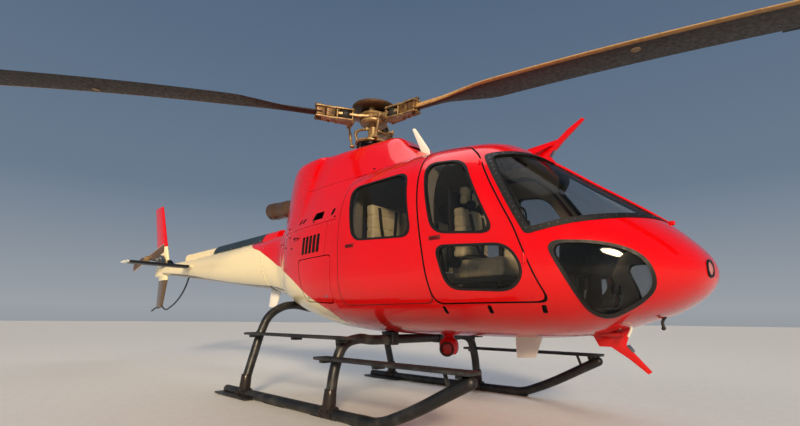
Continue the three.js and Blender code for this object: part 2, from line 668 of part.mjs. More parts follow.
for (const [label, side] of SIDES) {
  const far = STEP.near + STEP.wide;
  const upper = join(
    sideBox(side, [-800, STEP.near, STEP.upper], [890, far, STEP.upper + STEP.thick]),
    sideBox(side, [GEAR.frontTube - 30, 1000, 570], [GEAR.frontTube + 30, 1060, STEP.upper + 5]),
  );
  const [inner, outer] = [STEP.near + STEP.outboard, far + STEP.outboard];
  const lower = join(
    sideBox(side, [560, inner, STEP.lower], [2180, outer, STEP.lower + STEP.thick]),
    sideBox(side, [GEAR.frontTube - 50, inner, 400], [GEAR.frontTube + 50, outer, STEP.lower + 5]),
  );
  add(`cabin_step_${label}`, cut(upper, aroundTubes, aroundSkids), BLACK);
  add(`entry_step_${label}`, cut(lower, aroundTubes, aroundSkids), BLACK);
}

// Cabin fittings

const floorTop = FLOOR.high + GAP;

/** A seat shell and its cushion. */
function seat(x, y, width) {
  return join(
    box([x, y - width / 2, floorTop + 160], [x + 470, y + width / 2, floorTop + 400]),
    box([x - 40, y - width / 2, floorTop + 380], [x + 90, y + width / 2, floorTop + 1060]),
    box([x + 40, y - width / 2 + 60, floorTop], [x + 400, y + width / 2 - 60, floorTop + 180]),
  );
}

add('pilot_seat', seat(1650, -400, 460), SEAT);
add('co_pilot_seat', seat(1650, 400, 460), SEAT);
add('rear_bench', seat(640, 0, 1360), SEAT);
add('instrument_panel', join(
  box([2380, -300, 1180], [2560, 300, 1540]),
  box([2150, -110, floorTop], [2560, 110, 1220]),
), BLACK);

// Roof, belly and nose fittings

const blank = join(cabinHull(-GAP), cowlHull(-GAP, COWL.rear, COWL.front + GAP));

/** A thin upright plate with a side outline. */
function plate(points, half, y = 0) {
  return solid(loft([y - half, y + half].map((across) => points.map(([x, z]) => new THREE.Vector3(x, across, z)))));
}

add('upper_wire_cutter', join(
  plate([[2010, 2290], [2270, 2080], [2287, 2145], [2235, 2222], [2262, 2250], [2300, 2360], [2018, 2345]], 11),
  plate([[2345, 2328], [2530, 2470], [2512, 2490], [2389, 2425], [2300, 2360], [2200, 2350], [2262, 2250]], 11),
).subtract(blank), PAINT_RED);
add('lower_wire_cutter', plate([[2490, 830], [2770, 840], [2740, 665], [2905, 475], [2885, 460], [2640, 640],
  [2560, 640]], 11).subtract(blank), PAINT_RED);
add('roof_antenna', plate([[1055, 2440], [1140, 2440], [945, 2770], [905, 2770]], 9, -300).subtract(blank), PAINT_CREAM);
add('belly_antenna', plate([[1855, 760], [2060, 760], [2098, 690], [2030, 522], [1860, 512]], 9).subtract(blank), PAINT_CREAM);
add('rear_antenna', plate([[-2165, 1340], [-1950, 1340], [-1948, 1160], [-2048, 987], [-2234, 1009]], 9)
  .subtract(aroundBoom), PAINT_CREAM);
add('belly_lamp', solid(new THREE.LatheGeometry([[0, 470], [70, 490], [95, 540], [95, 600], [60, 650], [50, 760], [0, 760]]
  .map(([r, z]) => new THREE.Vector2(r, z)), 20).rotateX(Math.PI / 2).translate(1130, 0, 0)).subtract(blank), PAINT_RED);

const aircraft = new THREE.Group();
parts.position.x = ROTOR_STATION;
aircraft.add(parts);

export default aircraft;
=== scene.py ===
"""Dresses a light single-engine helicopter on high skids and sets it in a pale studio.

Lengths are millimetres from a datum, as on a workshop drawing: the airframe's datum is the foot of
the main rotor's axis, a rotor blade's is the rotor head. A piece is moved from its datum to the
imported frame, in metres, when it is dressed.
"""

import json
import logging
import math
from collections.abc import Callable, Iterator, Sequence
from contextlib import contextmanager
from dataclasses import dataclass
from enum import Enum
from functools import lru_cache

import bmesh
import bpy
import numpy as np
from mathutils import Matrix, Vector

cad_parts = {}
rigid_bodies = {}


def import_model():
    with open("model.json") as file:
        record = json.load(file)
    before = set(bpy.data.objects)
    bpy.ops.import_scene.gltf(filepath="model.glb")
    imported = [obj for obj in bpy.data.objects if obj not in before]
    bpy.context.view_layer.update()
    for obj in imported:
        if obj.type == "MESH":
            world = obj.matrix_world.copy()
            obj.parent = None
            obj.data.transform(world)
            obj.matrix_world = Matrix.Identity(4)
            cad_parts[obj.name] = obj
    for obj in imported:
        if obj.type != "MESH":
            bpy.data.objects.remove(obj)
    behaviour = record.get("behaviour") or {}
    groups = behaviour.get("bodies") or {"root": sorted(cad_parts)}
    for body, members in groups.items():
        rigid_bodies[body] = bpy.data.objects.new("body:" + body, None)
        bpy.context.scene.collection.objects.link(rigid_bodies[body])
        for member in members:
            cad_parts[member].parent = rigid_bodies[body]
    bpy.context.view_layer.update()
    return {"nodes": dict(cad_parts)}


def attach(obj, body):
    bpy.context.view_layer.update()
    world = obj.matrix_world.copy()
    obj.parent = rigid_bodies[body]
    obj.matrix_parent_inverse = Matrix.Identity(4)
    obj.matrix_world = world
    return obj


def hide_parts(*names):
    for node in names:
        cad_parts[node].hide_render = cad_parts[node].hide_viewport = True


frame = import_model()
log = logging.getLogger("helicopter")

Piece = bpy.types.Object
Finish = bpy.types.Material
Tree = bpy.types.NodeTree
Socket = bpy.types.NodeSocket
Triple = tuple[float, float, float]
Pair = tuple[float, float]
Spot = tuple[Vector, Vector]  # a point and the outward normal there
Inputs = dict[str | int, object]
Stops = tuple[tuple[float, str], ...]

MM = 0.001
STRAP_STEPS = 6  # lengths between two points of a strap
SIDES = {"port": 1, "starboard": -1}
BLADES = 3
MAST_TILT = 3.15  # degrees, forwards
REST_AZIMUTH, TAIL_AZIMUTH = 0.5, -11.0  # degrees, where the blades of each rotor rest
AIRFRAME = Matrix.Translation((1.130, 0, 0))
HUB = AIRFRAME @ Matrix.Translation((0, 0, 3.260)) @ Matrix.Rotation(math.radians(MAST_TILT), 4, "Y")
ARMS = [HUB @ Matrix.Rotation(math.radians(REST_AZIMUTH + 360 / BLADES * i), 4, "Z") for i in range(BLADES)]
TAIL_HUB = (AIRFRAME @ Matrix.Translation((-6.665, -0.370, 2.090))
            @ Matrix.Rotation(math.radians(TAIL_AZIMUTH), 4, "Y"))


class Boolean(Enum):
    """How one closed mesh changes another."""

    CUT = "DIFFERENCE"
    JOIN = "UNION"
    KEEP = "INTERSECT"


# Operators


def activate(*pieces: Piece) -> None:
    """Selects these pieces alone, the last one active.

    Args:
        pieces: The objects.
    """
    bpy.ops.object.select_all(action="DESELECT")
    for piece in pieces:
        piece.select_set(True)
    bpy.context.view_layer.objects.active = pieces[-1]


@contextmanager
def editing(piece: Piece) -> Iterator[None]:
    """Edit mode on one piece, with everything in it selected.

    Args:
        piece: The mesh to edit.

    Yields:
        Nothing, while the edit mode lasts.
    """
    activate(piece)
    bpy.ops.object.mode_set(mode="EDIT")
    bpy.ops.mesh.select_all(action="SELECT")
    try:
        yield
    finally:
        bpy.ops.object.mode_set(mode="OBJECT")


def choose(piece: Piece, test: Callable[[Vector, Vector], bool]) -> None:
    """Selects, in edit mode, the faces whose middle (in millimetres) and normal pass a test.

    Args:
        piece: The mesh, in edit mode.
        test: What a face's middle and normal have to pass.
    """
    bpy.ops.mesh.select_mode(type="FACE")
    bpy.ops.mesh.select_all(action="DESELECT")
    mesh = bmesh.from_edit_mesh(piece.data)
    for face in mesh.faces:
        face.select_set(test(face.calc_center_median() / MM, face.normal))
    bmesh.update_edit_mesh(piece.data)


def modify(piece: Piece, kind: str, **settings: object) -> Piece:
    """Adds a modifier with these settings and applies it.

    Args:
        piece: The mesh.
        kind: The modifier's type.
        settings: The modifier's settings.

    Returns:
        The same piece.
    """
    activate(piece)
    added = piece.modifiers.new(kind.title(), kind)
    for name, value in settings.items():
        setattr(added, name, value)
    bpy.ops.object.modifier_apply(modifier=added.name)
    return piece


def bevel(piece: Piece, width: float, segments: int = 2, angle: float = 35) -> Piece:
    """Rounds the edges sharper than an angle in degrees."""
    return modify(piece, "BEVEL", width=width * MM, segments=segments, limit_method="ANGLE",
                  angle_limit=math.radians(angle), use_clamp_overlap=True)


def combine(piece: Piece, how: Boolean, *others: Piece) -> Piece:
    """Cuts, joins or intersects a piece with closed meshes, which are then removed.

    Args:
        piece: The mesh that changes.
        how: The way that it changes.
        others: The closed meshes, used up one by one.

    Returns:
        The same piece.
    """
    for other in others:
        modify(piece, "BOOLEAN", operation=how.value, object=other, solver="MANIFOLD",
               material_mode="TRANSFER")
        bpy.data.objects.remove(other)
    return piece


def copied(piece: Piece) -> Piece:
    """A copy with a mesh of its own.

    Args:
        piece: The object to copy.

    Returns:
        The copy.
    """
    twin = piece.copy()
    twin.data = piece.data.copy()
    bpy.context.collection.objects.link(twin)
    return twin


def joined(name: str, *pieces: Piece) -> Piece:
    """Several pieces as one mesh.

    Args:
        name: The whole's name.
        pieces: The meshes, the last of which becomes the whole.

    Returns:
        The whole.
    """
    activate(*pieces)
    if len(pieces) > 1:
        bpy.ops.object.join()
    whole = bpy.context.view_layer.objects.active
    whole.name = name
    return whole


def cube(low: Triple, high: Triple) -> Piece:
    """A cube primitive between two corners.

    Args:
        low: The corner with the lowest values.
        high: The corner with the highest values.

    Returns:
        The mesh.
    """
    bpy.ops.object.select_all(action="DESELECT")
    middle = (Vector(low) + Vector(high)) / 2 * MM
    bpy.ops.mesh.primitive_cube_add(size=1, location=middle)
    piece = bpy.context.object
    piece.scale = (Vector(high) - Vector(low)) * MM
    bpy.ops.object.transform_apply(location=True, rotation=True, scale=True)
    return piece


def block(low: Triple, high: Triple, edge: float = 4, segments: int = 2) -> Piece:
    """A block with rounded edges."""
    return bevel(cube(low, high), edge, segments)


def beside(side: int, low: Triple, high: Triple, edge: float = 4, segments: int = 2) -> Piece:
    """A block on one side of the aircraft, its across values counted outboard from the middle."""
    near, far = sorted((low[1] * side, high[1] * side))
    return block((low[0], near, low[2]), (high[0], far, high[2]), edge, segments)


def rod(start: Triple, end: Triple, radius: float, end_radius: float | None = None, sides: int = 24,
        edge: float = 0) -> Piece:
    """A round or tapered rod between two points, its rims rounded by edge.

    Args:
        start: The middle of the first end.
        end: The middle of the last end.
        radius: The radius at the start.
        end_radius: The radius at the end, the same if None.
        sides: How many flats make it round.
        edge: How far its rims are rounded.

    Returns:
        The mesh.
    """
    first, last = Vector(start) * MM, Vector(end) * MM
    way = last - first
    bpy.ops.object.select_all(action="DESELECT")
    bpy.ops.mesh.primitive_cone_add(
        vertices=sides, radius1=radius * MM, radius2=(radius if end_radius is None else end_radius) * MM,
        depth=way.length, location=(first + last) / 2, rotation=way.to_track_quat("Z", "Y").to_euler())
    bpy.ops.object.transform_apply(location=True, rotation=True, scale=True)
    piece = bpy.context.object
    return bevel(piece, edge, 2) if edge else piece


def ball(centre: Triple, radius: float, sides: int = 16) -> Piece:
    """A ball, for a rod end or a knob.

    Args:
        centre: Its centre.
        radius: Its radius.
        sides: How many flats go round it.

    Returns:
        The mesh.
    """
    bpy.ops.object.select_all(action="DESELECT")
    bpy.ops.mesh.primitive_uv_sphere_add(segments=sides, ring_count=sides // 2, radius=radius * MM,
                                         location=Vector(centre) * MM)
    bpy.ops.object.transform_apply(location=True, rotation=True, scale=True)
    return bpy.context.object


def pipe(points: Sequence[Triple], radius: float, sides: int = 12, steps: int = 12) -> Piece:
    """A round pipe or cable along a smooth path.

    Args:
        points: The points that its axis passes through.
        radius: Its radius.
        sides: How many flats make it round.
        steps: How many lengths lie between two points.

    Returns:
        The mesh, closed at both ends.
    """
    bpy.ops.object.select_all(action="DESELECT")
    bpy.ops.curve.primitive_bezier_curve_add(location=(0, 0, 0))
    curve = bpy.context.object
    line = curve.data.splines[0]
    line.bezier_points.add(len(points) - 2)
    for knot, point in zip(line.bezier_points, points):
        knot.co = Vector(point) * MM
        knot.handle_left_type = knot.handle_right_type = "AUTO"
    curve.data.dimensions = "3D"
    curve.data.resolution_u = steps
    curve.data.bevel_depth = radius * MM
    curve.data.bevel_resolution = max(0, sides // 4 - 1)
    curve.data.use_fill_caps = True
    bpy.ops.object.convert(target="MESH")
    piece = bpy.context.object
    with editing(piece):
        bpy.ops.mesh.normals_make_consistent(inside=False)
    return piece


def wrapped(rings: np.ndarray) -> Piece:
    """A grid primitive laid on rings of points, closed round and at both ends.

    Args:
        rings: Points in millimetres, counted by ring, then round the ring.

    Returns:
        The mesh, its faces outwards.
    """
    stations, count = rings.shape[:2]
    bpy.ops.object.select_all(action="DESELECT")
    bpy.ops.mesh.primitive_grid_add(x_subdivisions=count, y_subdivisions=stations - 1, size=2)
    piece = bpy.context.object
    flat = np.empty(len(piece.data.vertices) * 3)
    piece.data.vertices.foreach_get("co", flat)
    spots = flat.reshape(-1, 3)
    column = np.rint((spots[:, 0] + 1) / 2 * count).astype(int) % count
    row = np.rint((spots[:, 1] + 1) / 2 * (stations - 1)).astype(int)
    piece.data.vertices.foreach_set("co", (rings[row, column] * MM).ravel())
    with editing(piece):
        bpy.ops.mesh.remove_doubles(threshold=0.01 * MM)
        bpy.ops.mesh.fill_holes(sides=0)
        bpy.ops.mesh.normals_make_consistent(inside=False)
    return piece


def lathe(profile: Sequence[Pair], axis: str = "Z", at: Triple = (0, 0, 0), steps: int = 48) -> Piece:
    """A turned piece. Columns of the profile: radius and distance along the axis.

    Args:
        profile: The rows.
        axis: The axis that it turns about.
        at: Where its own zero lies.
        steps: How many flats make it round.

    Returns:
        The mesh.
    """
    turn = np.linspace(0, 2 * math.pi, steps, endpoint=False)
    rings = np.empty((len(profile), steps, 3))
    for ring, (radius, along) in zip(rings, profile):
        ring[:, 0] = max(radius, 0.02) * np.cos(turn)
        ring[:, 1] = max(radius, 0.02) * np.sin(turn)
        ring[:, 2] = along
    order = {"Z": (0, 1, 2), "X": (2, 0, 1), "Y": (1, 2, 0)}[axis]
    return wrapped(rings[:, :, order] + np.array(at))


def slab(points: Sequence[Triple], way: Triple) -> Piece:
    """A flat outline, pushed along a direction into a closed slab.

    Args:
        points: The outline's corners.
        way: The direction and its length.

    Returns:
        The mesh.
    """
    bpy.ops.object.select_all(action="DESELECT")
    bpy.ops.mesh.primitive_circle_add(vertices=len(points), fill_type="NGON")
    piece = bpy.context.object
    for vertex, point in zip(piece.data.vertices, points):
        vertex.co = Vector(point) * MM
    with editing(piece):
        bpy.ops.mesh.extrude_region_move(TRANSFORM_OT_translate={"value": Vector(way) * MM})
        bpy.ops.mesh.select_all(action="SELECT")
        bpy.ops.mesh.normals_make_consistent(inside=False)
    return piece


def plate(points: Sequence[Pair], half: float, y: float = 0, edge: float = 0) -> Piece:
    """An upright plate with a side outline of x and z."""
    piece = slab([(x, y - half, z) for x, z in points], (0, 2 * half, 0))
    return bevel(piece, edge, 2, 50) if edge else piece


def strap(points: Sequence[Triple], width: float, thick: float, across: Triple) -> Piece:
    """A flat band along a smooth path, its width lying along a direction.

    Args:
        points: The points that it passes through.
        width: Its width.
        thick: Its thickness.
        across: The direction of its width.

    Returns:
        The mesh.
    """
    knots = [Vector(p) for p in points]
    path = []
    for i in range(len(knots) - 1):
        a, b, c, d = (knots[min(max(i + k, 0), len(knots) - 1)] for k in (-1, 0, 1, 2))
        for step in range(STRAP_STEPS):
            t = step / STRAP_STEPS
            path.append(0.5 * (2 * b + (c - a) * t + (2 * a - 5 * b + 4 * c - d) * t**2
                               + (3 * b - a - 3 * c + d) * t**3))
    path.append(knots[-1])
    side = Vector(across).normalized() * width / 2
    rings = []
    for i, point in enumerate(path):
        tangent = path[min(i + 1, len(path) - 1)] - path[max(i - 1, 0)]
        up = tangent.cross(side).normalized() * thick / 2
        rings.append([point + side * a + up * b for a, b in ((1, .4), (.9, 1), (-.9, 1), (-1, .4),
                                                             (-1, -.4), (-.9, -1), (.9, -1), (1, -.4))])
    return wrapped(np.array([[tuple(p) for p in ring] for ring in rings]))


def stood(piece: Piece, spot: Spot, outward: str = "Y", upward: str = "Z") -> Piece:
    """Moves a small piece, modelled about nought, to a spot.

    Args:
        piece: The modelled mesh.
        spot: Where it goes, and the normal there.
        outward: The axis of the piece that follows the normal.
        upward: The axis of the piece that stays as upright as it can.

    Returns:
        The same piece.
    """
    point, normal = spot
    piece.data.transform(Matrix.Translation(point * MM)
                         @ normal.to_track_quat(outward, upward).to_matrix().to_4x4())
    return piece


def scatter(one: Piece, places: Sequence[Spot]) -> Piece:
    """Copies of a small piece, each stood on a spot with its Z along the normal, as one mesh.

    Args:
        one: The small piece, which is used up.
        places: The spots.

    Returns:
        The whole.
    """
    twins = [stood(copied(one), spot, "Z", "Y") for spot in places]
    bpy.data.objects.remove(one)
    return joined("copies", *twins)


def dress(piece: Piece, name: str, finish: Finish | None, body: str, slot: str, *nodes: str,
          datum: Matrix = AIRFRAME, angle: float = 32) -> Piece:
    """Moves a modelled piece into the frame, gives it its finish and hangs it on its body.

    Args:
        piece: The modelled mesh, at its datum.
        name: The piece's name.
        finish: Its material, or None where the mesh already carries its materials.
        body: The body it moves with.
        slot: The record's material slot; not used.
        nodes: The solids that it stands for.
        datum: Where the mesh's own zero lies in the frame.
        angle: Edges sharper than this many degrees stay sharp.

    Returns:
        The finished piece.
    """
    piece.data.transform(datum)
    piece.name = piece.data.name = name
    if finish is not None:
        piece.data.materials.clear()
        piece.data.materials.append(finish)
        piece.data.polygons.foreach_set("material_index", [0] * len(piece.data.polygons))
    activate(piece)
    bpy.ops.object.shade_smooth_by_angle(angle=math.radians(angle))
    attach(piece, body)
    if nodes:
        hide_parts(*nodes)
    log.info("%s: %d faces on %s", name, len(piece.data.polygons), body)
    return piece


# Finishes


WHOLE, MIDDLE = (0.0, 1.0), (0.35, 0.65)  # the part of a noise's range that a pattern uses
HIGHEST_LINE = 4.0  # metres, above every paint line
PAINT_EDGE = 0.0015  # metres, over which one colour gives way to the next


def srgb(code: str) -> tuple[float, float, float, float]:
    """The linear colour of an sRGB hex value such as 'c4060a'."""
    parts = [int(code[i:i + 2], 16) / 255 for i in (0, 2, 4)]
    return (*[p / 12.92 if p <= 0.04045 else ((p + 0.055) / 1.055) ** 2.4 for p in parts], 1.0)


def node(tree: Tree, kind: str, inputs: Inputs | None = None, stops: Stops = (),
         **settings: object) -> bpy.types.Node:
    """Adds a node with its settings and links.

    Args:
        tree: The tree that it joins.
        kind: The node's type.
        inputs: For each input, by name or place, a value, an sRGB hex value or the socket that feeds it.
        stops: A colour ramp's stops, each a position and an sRGB hex value.
        settings: The node's own settings.

    Returns:
        The new node.
    """
    made = tree.nodes.new(kind)
    for name, value in settings.items():
        setattr(made, name, value)
    for name, value in (inputs or {}).items():
        if isinstance(value, Socket):
            tree.links.new(value, made.inputs[name])
        else:
            made.inputs[name].default_value = srgb(value) if isinstance(value, str) else value
    if stops:
        elements = made.color_ramp.elements
        while len(elements) < len(stops):
            elements.new(0.5)
        for element, (position, code) in zip(elements, stops):
            element.position, element.color = position, srgb(code)
    return made


def pattern(tree: Tree, size: float, detail: float, values: Pair = WHOLE, part: Pair = MIDDLE,
          stretch: Triple = (1, 1, 1)) -> Socket:
    """An uneven pattern over a surface.

    Args:
        tree: The tree that it joins.
        size: About how large its grains are, in millimetres.
        detail: How many finer layers lie over the first.
        values: The pattern's lowest and highest value.
        part: The noise's own values that give them.
        stretch: How many times longer the grains are along each axis.

    Returns:
        The pattern.
    """
    where = node(tree, "ShaderNodeTexCoord").outputs["Object"]
    if stretch != (1, 1, 1):
        where = node(tree, "ShaderNodeMapping",
                     {"Vector": where, "Scale": [1 / s for s in stretch]}).outputs[0]
    noise = node(tree, "ShaderNodeTexNoise", {"Vector": where, "Scale": 1000 / size,
                                              "Detail": detail}).outputs["Fac"]
    if values == part:
        return noise
    return node(tree, "ShaderNodeMapRange", {"Value": noise, "From Min": part[0], "From Max": part[1],
                                             "To Min": values[0], "To Max": values[1]}).outputs[0]


@dataclass(frozen=True)
class Border:
    """Another colour below a line on the side of the aircraft. Columns of the line: station and level."""

    colour: str
    line: tuple[Pair, ...]

    def share(self, tree: Tree) -> Socket:
        """Measures a surface's place against the line.

        Args:
            tree: The paint's node tree.

        Returns:
            One where the surface is below the line, else nought.
        """
        axes = node(tree, "ShaderNodeSeparateXYZ", {0: node(tree, "ShaderNodeTexCoord").outputs["Object"]})
        stations = [x * MM + AIRFRAME.translation.x for x, _ in self.line]
        first, last = stations[0], stations[-1]
        along = node(tree, "ShaderNodeMapRange", {"Value": axes.outputs[0], "From Min": first,
                                                  "From Max": last})
        curve = node(tree, "ShaderNodeFloatCurve", {"Value": along.outputs[0]})
        points = curve.mapping.curves[0].points
        while len(points) < len(self.line):
            points.new(0.5, 0.5)
        for point, station, (_, level) in zip(points, stations, self.line):
            point.location = ((station - first) / (last - first), level * MM / HIGHEST_LINE)
        curve.mapping.update()
        height = node(tree, "ShaderNodeMath", {0: curve.outputs[0], 1: HIGHEST_LINE}, operation="MULTIPLY")
        below = node(tree, "ShaderNodeMath", {0: height.outputs[0], 1: axes.outputs[2]}, operation="SUBTRACT")
        return node(tree, "ShaderNodeMapRange", {"Value": below.outputs[0], "From Min": -PAINT_EDGE,
                                                 "From Max": PAINT_EDGE}).outputs[0]


@dataclass(frozen=True)
class Coating:
    """A finish that one Principled shader draws."""

    name: str

    def sockets(self, tree: Tree) -> Inputs:
        """The shader's inputs, which each kind of finish sets out."""
        raise NotImplementedError

    def material(self) -> Finish:
        """Makes the material.

        Returns:
            The material, with its shader and its output.
        """
        finish = bpy.data.materials.new(self.name)
        finish.use_nodes = True
        tree = finish.node_tree
        tree.nodes.clear()
        shader = node(tree, "ShaderNodeBsdfPrincipled", self.sockets(tree))
        node(tree, "ShaderNodeOutputMaterial", {"Surface": shader.outputs[0]})
        return finish


@dataclass(frozen=True)
class Paint(Coating):
    """Polyurethane enamel, sprayed over primed aluminium and laminate and left to flow out."""

    colour: str
    shade: str
    roughness: float = 0.2
    coat: float = 0.7
    borders: tuple[Border, ...] = ()

    def sockets(self, tree: Tree) -> Inputs:
        """Sets out even colour under a clear coat, faint orange peel and a little road dust low down.

        Args:
            tree: The paint's node tree.

        Returns:
            The shader's inputs.
        """
        colour = node(tree, "ShaderNodeMix", {0: pattern(tree, 900, 4, (0, 0.35)), 6: self.colour,
                                              7: self.shade},
                      data_type="RGBA").outputs[2]
        for border in self.borders:
            colour = node(tree, "ShaderNodeMix", {0: border.share(tree), 6: colour, 7: border.colour},
                          data_type="RGBA").outputs[2]
        levels = node(tree, "ShaderNodeSeparateXYZ", {0: node(tree, "ShaderNodeTexCoord").outputs["Object"]})
        low = node(tree, "ShaderNodeMapRange", {"Value": levels.outputs[2], "From Min": 0.6, "From Max": 1.3,
                                                "To Min": 0.16, "To Max": 0.0})
        dust = node(tree, "ShaderNodeMath", {0: low.outputs[0], 1: pattern(tree, 160, 6, part=WHOLE)},
                    operation="MULTIPLY")
        # Orange peel is about 3 mm across, drawn at 14 mm so that it shows from a few metres off
        peel = pattern(tree, 14, 1, part=WHOLE)
        return {
            "Base Color": node(tree, "ShaderNodeMix", {0: dust.outputs[0], 6: colour, 7: "6b5344"},
                               data_type="RGBA").outputs[2],
            "Roughness": pattern(tree, 240, 5, (self.roughness * 0.8, self.roughness * 1.3)),
            "IOR": 1.5,
            # The colour coat lies under lacquer of nearly its own index, so only the lacquer's face shines
            "Specular IOR Level": 0.12,
            "Coat Weight": self.coat,
            "Coat Roughness": 0.04,
            "Normal": node(tree, "ShaderNodeBump", {"Height": peel, "Distance": 0.03 * MM,
                                                    "Strength": 0.35}).outputs[0],
        }


@dataclass(frozen=True)
class Metal(Coating):
    """A bare or thinly finished metal, turned, drawn or cast."""

    colour: str
    shade: str
    roughness: float
    grain: float = 6
    stretch: Triple = (1, 1, 1)
    metallic: float = 1.0

    def sockets(self, tree: Tree) -> Inputs:
        """Sets out a mottled metal whose roughness follows its tool marks.

        Args:
            tree: The metal's node tree.

        Returns:
            The shader's inputs.
        """
        marks = pattern(tree, self.grain, 4, part=WHOLE, stretch=self.stretch)
        mottle = {0: pattern(tree, 70, 5), 6: self.colour, 7: self.shade}
        return {
            "Metallic": self.metallic,
            "Base Color": node(tree, "ShaderNodeMix", mottle, data_type="RGBA").outputs[2],
            "Roughness": pattern(tree, self.grain, 4, (self.roughness * 0.75, self.roughness * 1.3),
                                 stretch=self.stretch),
            "Normal": node(tree, "ShaderNodeBump", {"Height": marks, "Distance": 0.1 * MM,
                                                    "Strength": 0.4}).outputs[0],
        }


@dataclass(frozen=True)
class Dull(Coating):
    """A matt moulded, rubbed or powder-coated surface."""

    colour: str
    worn: str
    roughness: float
    grain: float = 3
    wear: float = 0.25
    relief: float = 0.15

    def sockets(self, tree: Tree) -> Inputs:
        """Sets out a fine even grain, paler where it is rubbed.

        Args:
            tree: The finish's node tree.

        Returns:
            The shader's inputs.
        """
        rubbed = {0: pattern(tree, 110, 8, (0, self.wear), (0.45, 0.75)), 6: self.colour, 7: self.worn}
        relief = {"Height": pattern(tree, self.grain, 2, part=WHOLE), "Distance": self.relief * MM,
                  "Strength": 0.6}
        return {
            "IOR": 1.5,
            "Base Color": node(tree, "ShaderNodeMix", rubbed, data_type="RGBA").outputs[2],
            "Roughness": pattern(tree, 45, 4, (self.roughness * 0.85, min(1, self.roughness * 1.2))),
            "Normal": node(tree, "ShaderNodeBump", relief).outputs[0],
        }


@dataclass(frozen=True)
class Acrylic(Coating):
    """Stretched acrylic sheet, blown to shape, tinted grey and polished."""

    colour: str
    cover: float
    roughness: float = 0.03

    def sockets(self, tree: Tree) -> Inputs:
        """Sets out a dark see-through film with a hard shine and faint wiping marks.

        Args:
            tree: The sheet's node tree.

        Returns:
            The shader's inputs.
        """
        tint = {0: pattern(tree, 500, 3, (0, 0.4)), 6: self.colour, 7: "2a2f33"}
        return {
            "IOR": 1.49,
            "Alpha": self.cover,
            "Coat Weight": 0.25,
            "Coat Roughness": 0.02,
            "Base Color": node(tree, "ShaderNodeMix", tint, data_type="RGBA").outputs[2],
            "Roughness": pattern(tree, 60, 6, (self.roughness * 0.6, self.roughness * 1.8),
                                 stretch=(1, 1, 3)),
        }


@dataclass(frozen=True)
class Hide(Coating):
    """Embossed upholstery leather, stretched over foam."""

    colour: str
    shade: str

    def sockets(self, tree: Tree) -> Inputs:
        """Sets out a pebbled grain with creases that hold a darker tone.

        Args:
            tree: The leather's node tree.

        Returns:
            The shader's inputs.
        """
        where = node(tree, "ShaderNodeTexCoord").outputs["Object"]
        # Leather pebbles are 1.5 mm across, drawn at 6 mm to show through the windows
        pebbles = node(tree, "ShaderNodeTexVoronoi", {"Vector": where, "Scale": 170.0},
                       feature="F1").outputs["Distance"]
        creases = {0: pattern(tree, 80, 6, (0, 0.6), (0.45, 0.7)), 6: self.colour, 7: self.shade}
        return {
            "IOR": 1.45,
            "Sheen Weight": 0.15,
            "Base Color": node(tree, "ShaderNodeMix", creases, data_type="RGBA").outputs[2],
            "Roughness": pattern(tree, 25, 3, (0.42, 0.6)),
            "Normal": node(tree, "ShaderNodeBump", {"Height": pebbles, "Distance": 0.5 * MM,
                                                    "Strength": 0.5}).outputs[0],
        }


@dataclass(frozen=True)
class Webbing(Coating):
    """Woven polyester webbing or looped carpet, with threads across and along."""

    colour: str
    shade: str
    thread: float

    def sockets(self, tree: Tree) -> Inputs:
        """Sets out crossed ribs of thread with a soft sheen.

        Args:
            tree: The weave's node tree.

        Returns:
            The shader's inputs.
        """
        wave = {"Vector": node(tree, "ShaderNodeTexCoord").outputs["Object"],
                "Scale": 1000 / self.thread / 6.3, "Distortion": 0.4}
        across, along = (node(tree, "ShaderNodeTexWave", wave, bands_direction=way).outputs["Fac"]
                         for way in "XY")
        woven = node(tree, "ShaderNodeMath", {0: across, 1: along}, operation="MULTIPLY").outputs[0]
        return {
            "Roughness": 0.85,
            "Sheen Weight": 0.3,
            "Base Color": node(tree, "ShaderNodeMix", {0: woven, 6: self.shade, 7: self.colour},
                               data_type="RGBA").outputs[2],
            "Normal": node(tree, "ShaderNodeBump", {"Height": woven, "Distance": 0.4 * MM,
                                                    "Strength": 0.6}).outputs[0],
        }


@dataclass(frozen=True)
class Bands(Coating):
    """A finish whose colour changes along a float attribute of the mesh."""

    stops: Stops
    attribute: str
    metallic: float
    roughness: float
    streak: str
    grain: float = 5

    def sockets(self, tree: Tree) -> Inputs:
        """Sets out bands of colour with streaks of a second tone drawn through them.

        Args:
            tree: The finish's node tree.

        Returns:
            The shader's inputs.
        """
        along = node(tree, "ShaderNodeAttribute", attribute_name=self.attribute, attribute_type="GEOMETRY")
        colour = node(tree, "ShaderNodeValToRGB", {"Fac": along.outputs["Fac"]}, self.stops).outputs["Color"]
        streaks = {0: pattern(tree, 40, 7, (0, 0.45), (0.5, 0.75)), 6: colour, 7: self.streak}
        relief = {"Height": pattern(tree, self.grain, 3, part=WHOLE), "Distance": 0.12 * MM, "Strength": 0.5}
        return {
            "Metallic": self.metallic,
            "Base Color": node(tree, "ShaderNodeMix", streaks, data_type="RGBA").outputs[2],
            "Roughness": pattern(tree, 30, 5, (self.roughness * 0.8, self.roughness * 1.25)),
            "Normal": node(tree, "ShaderNodeBump", relief).outputs[0],
        }


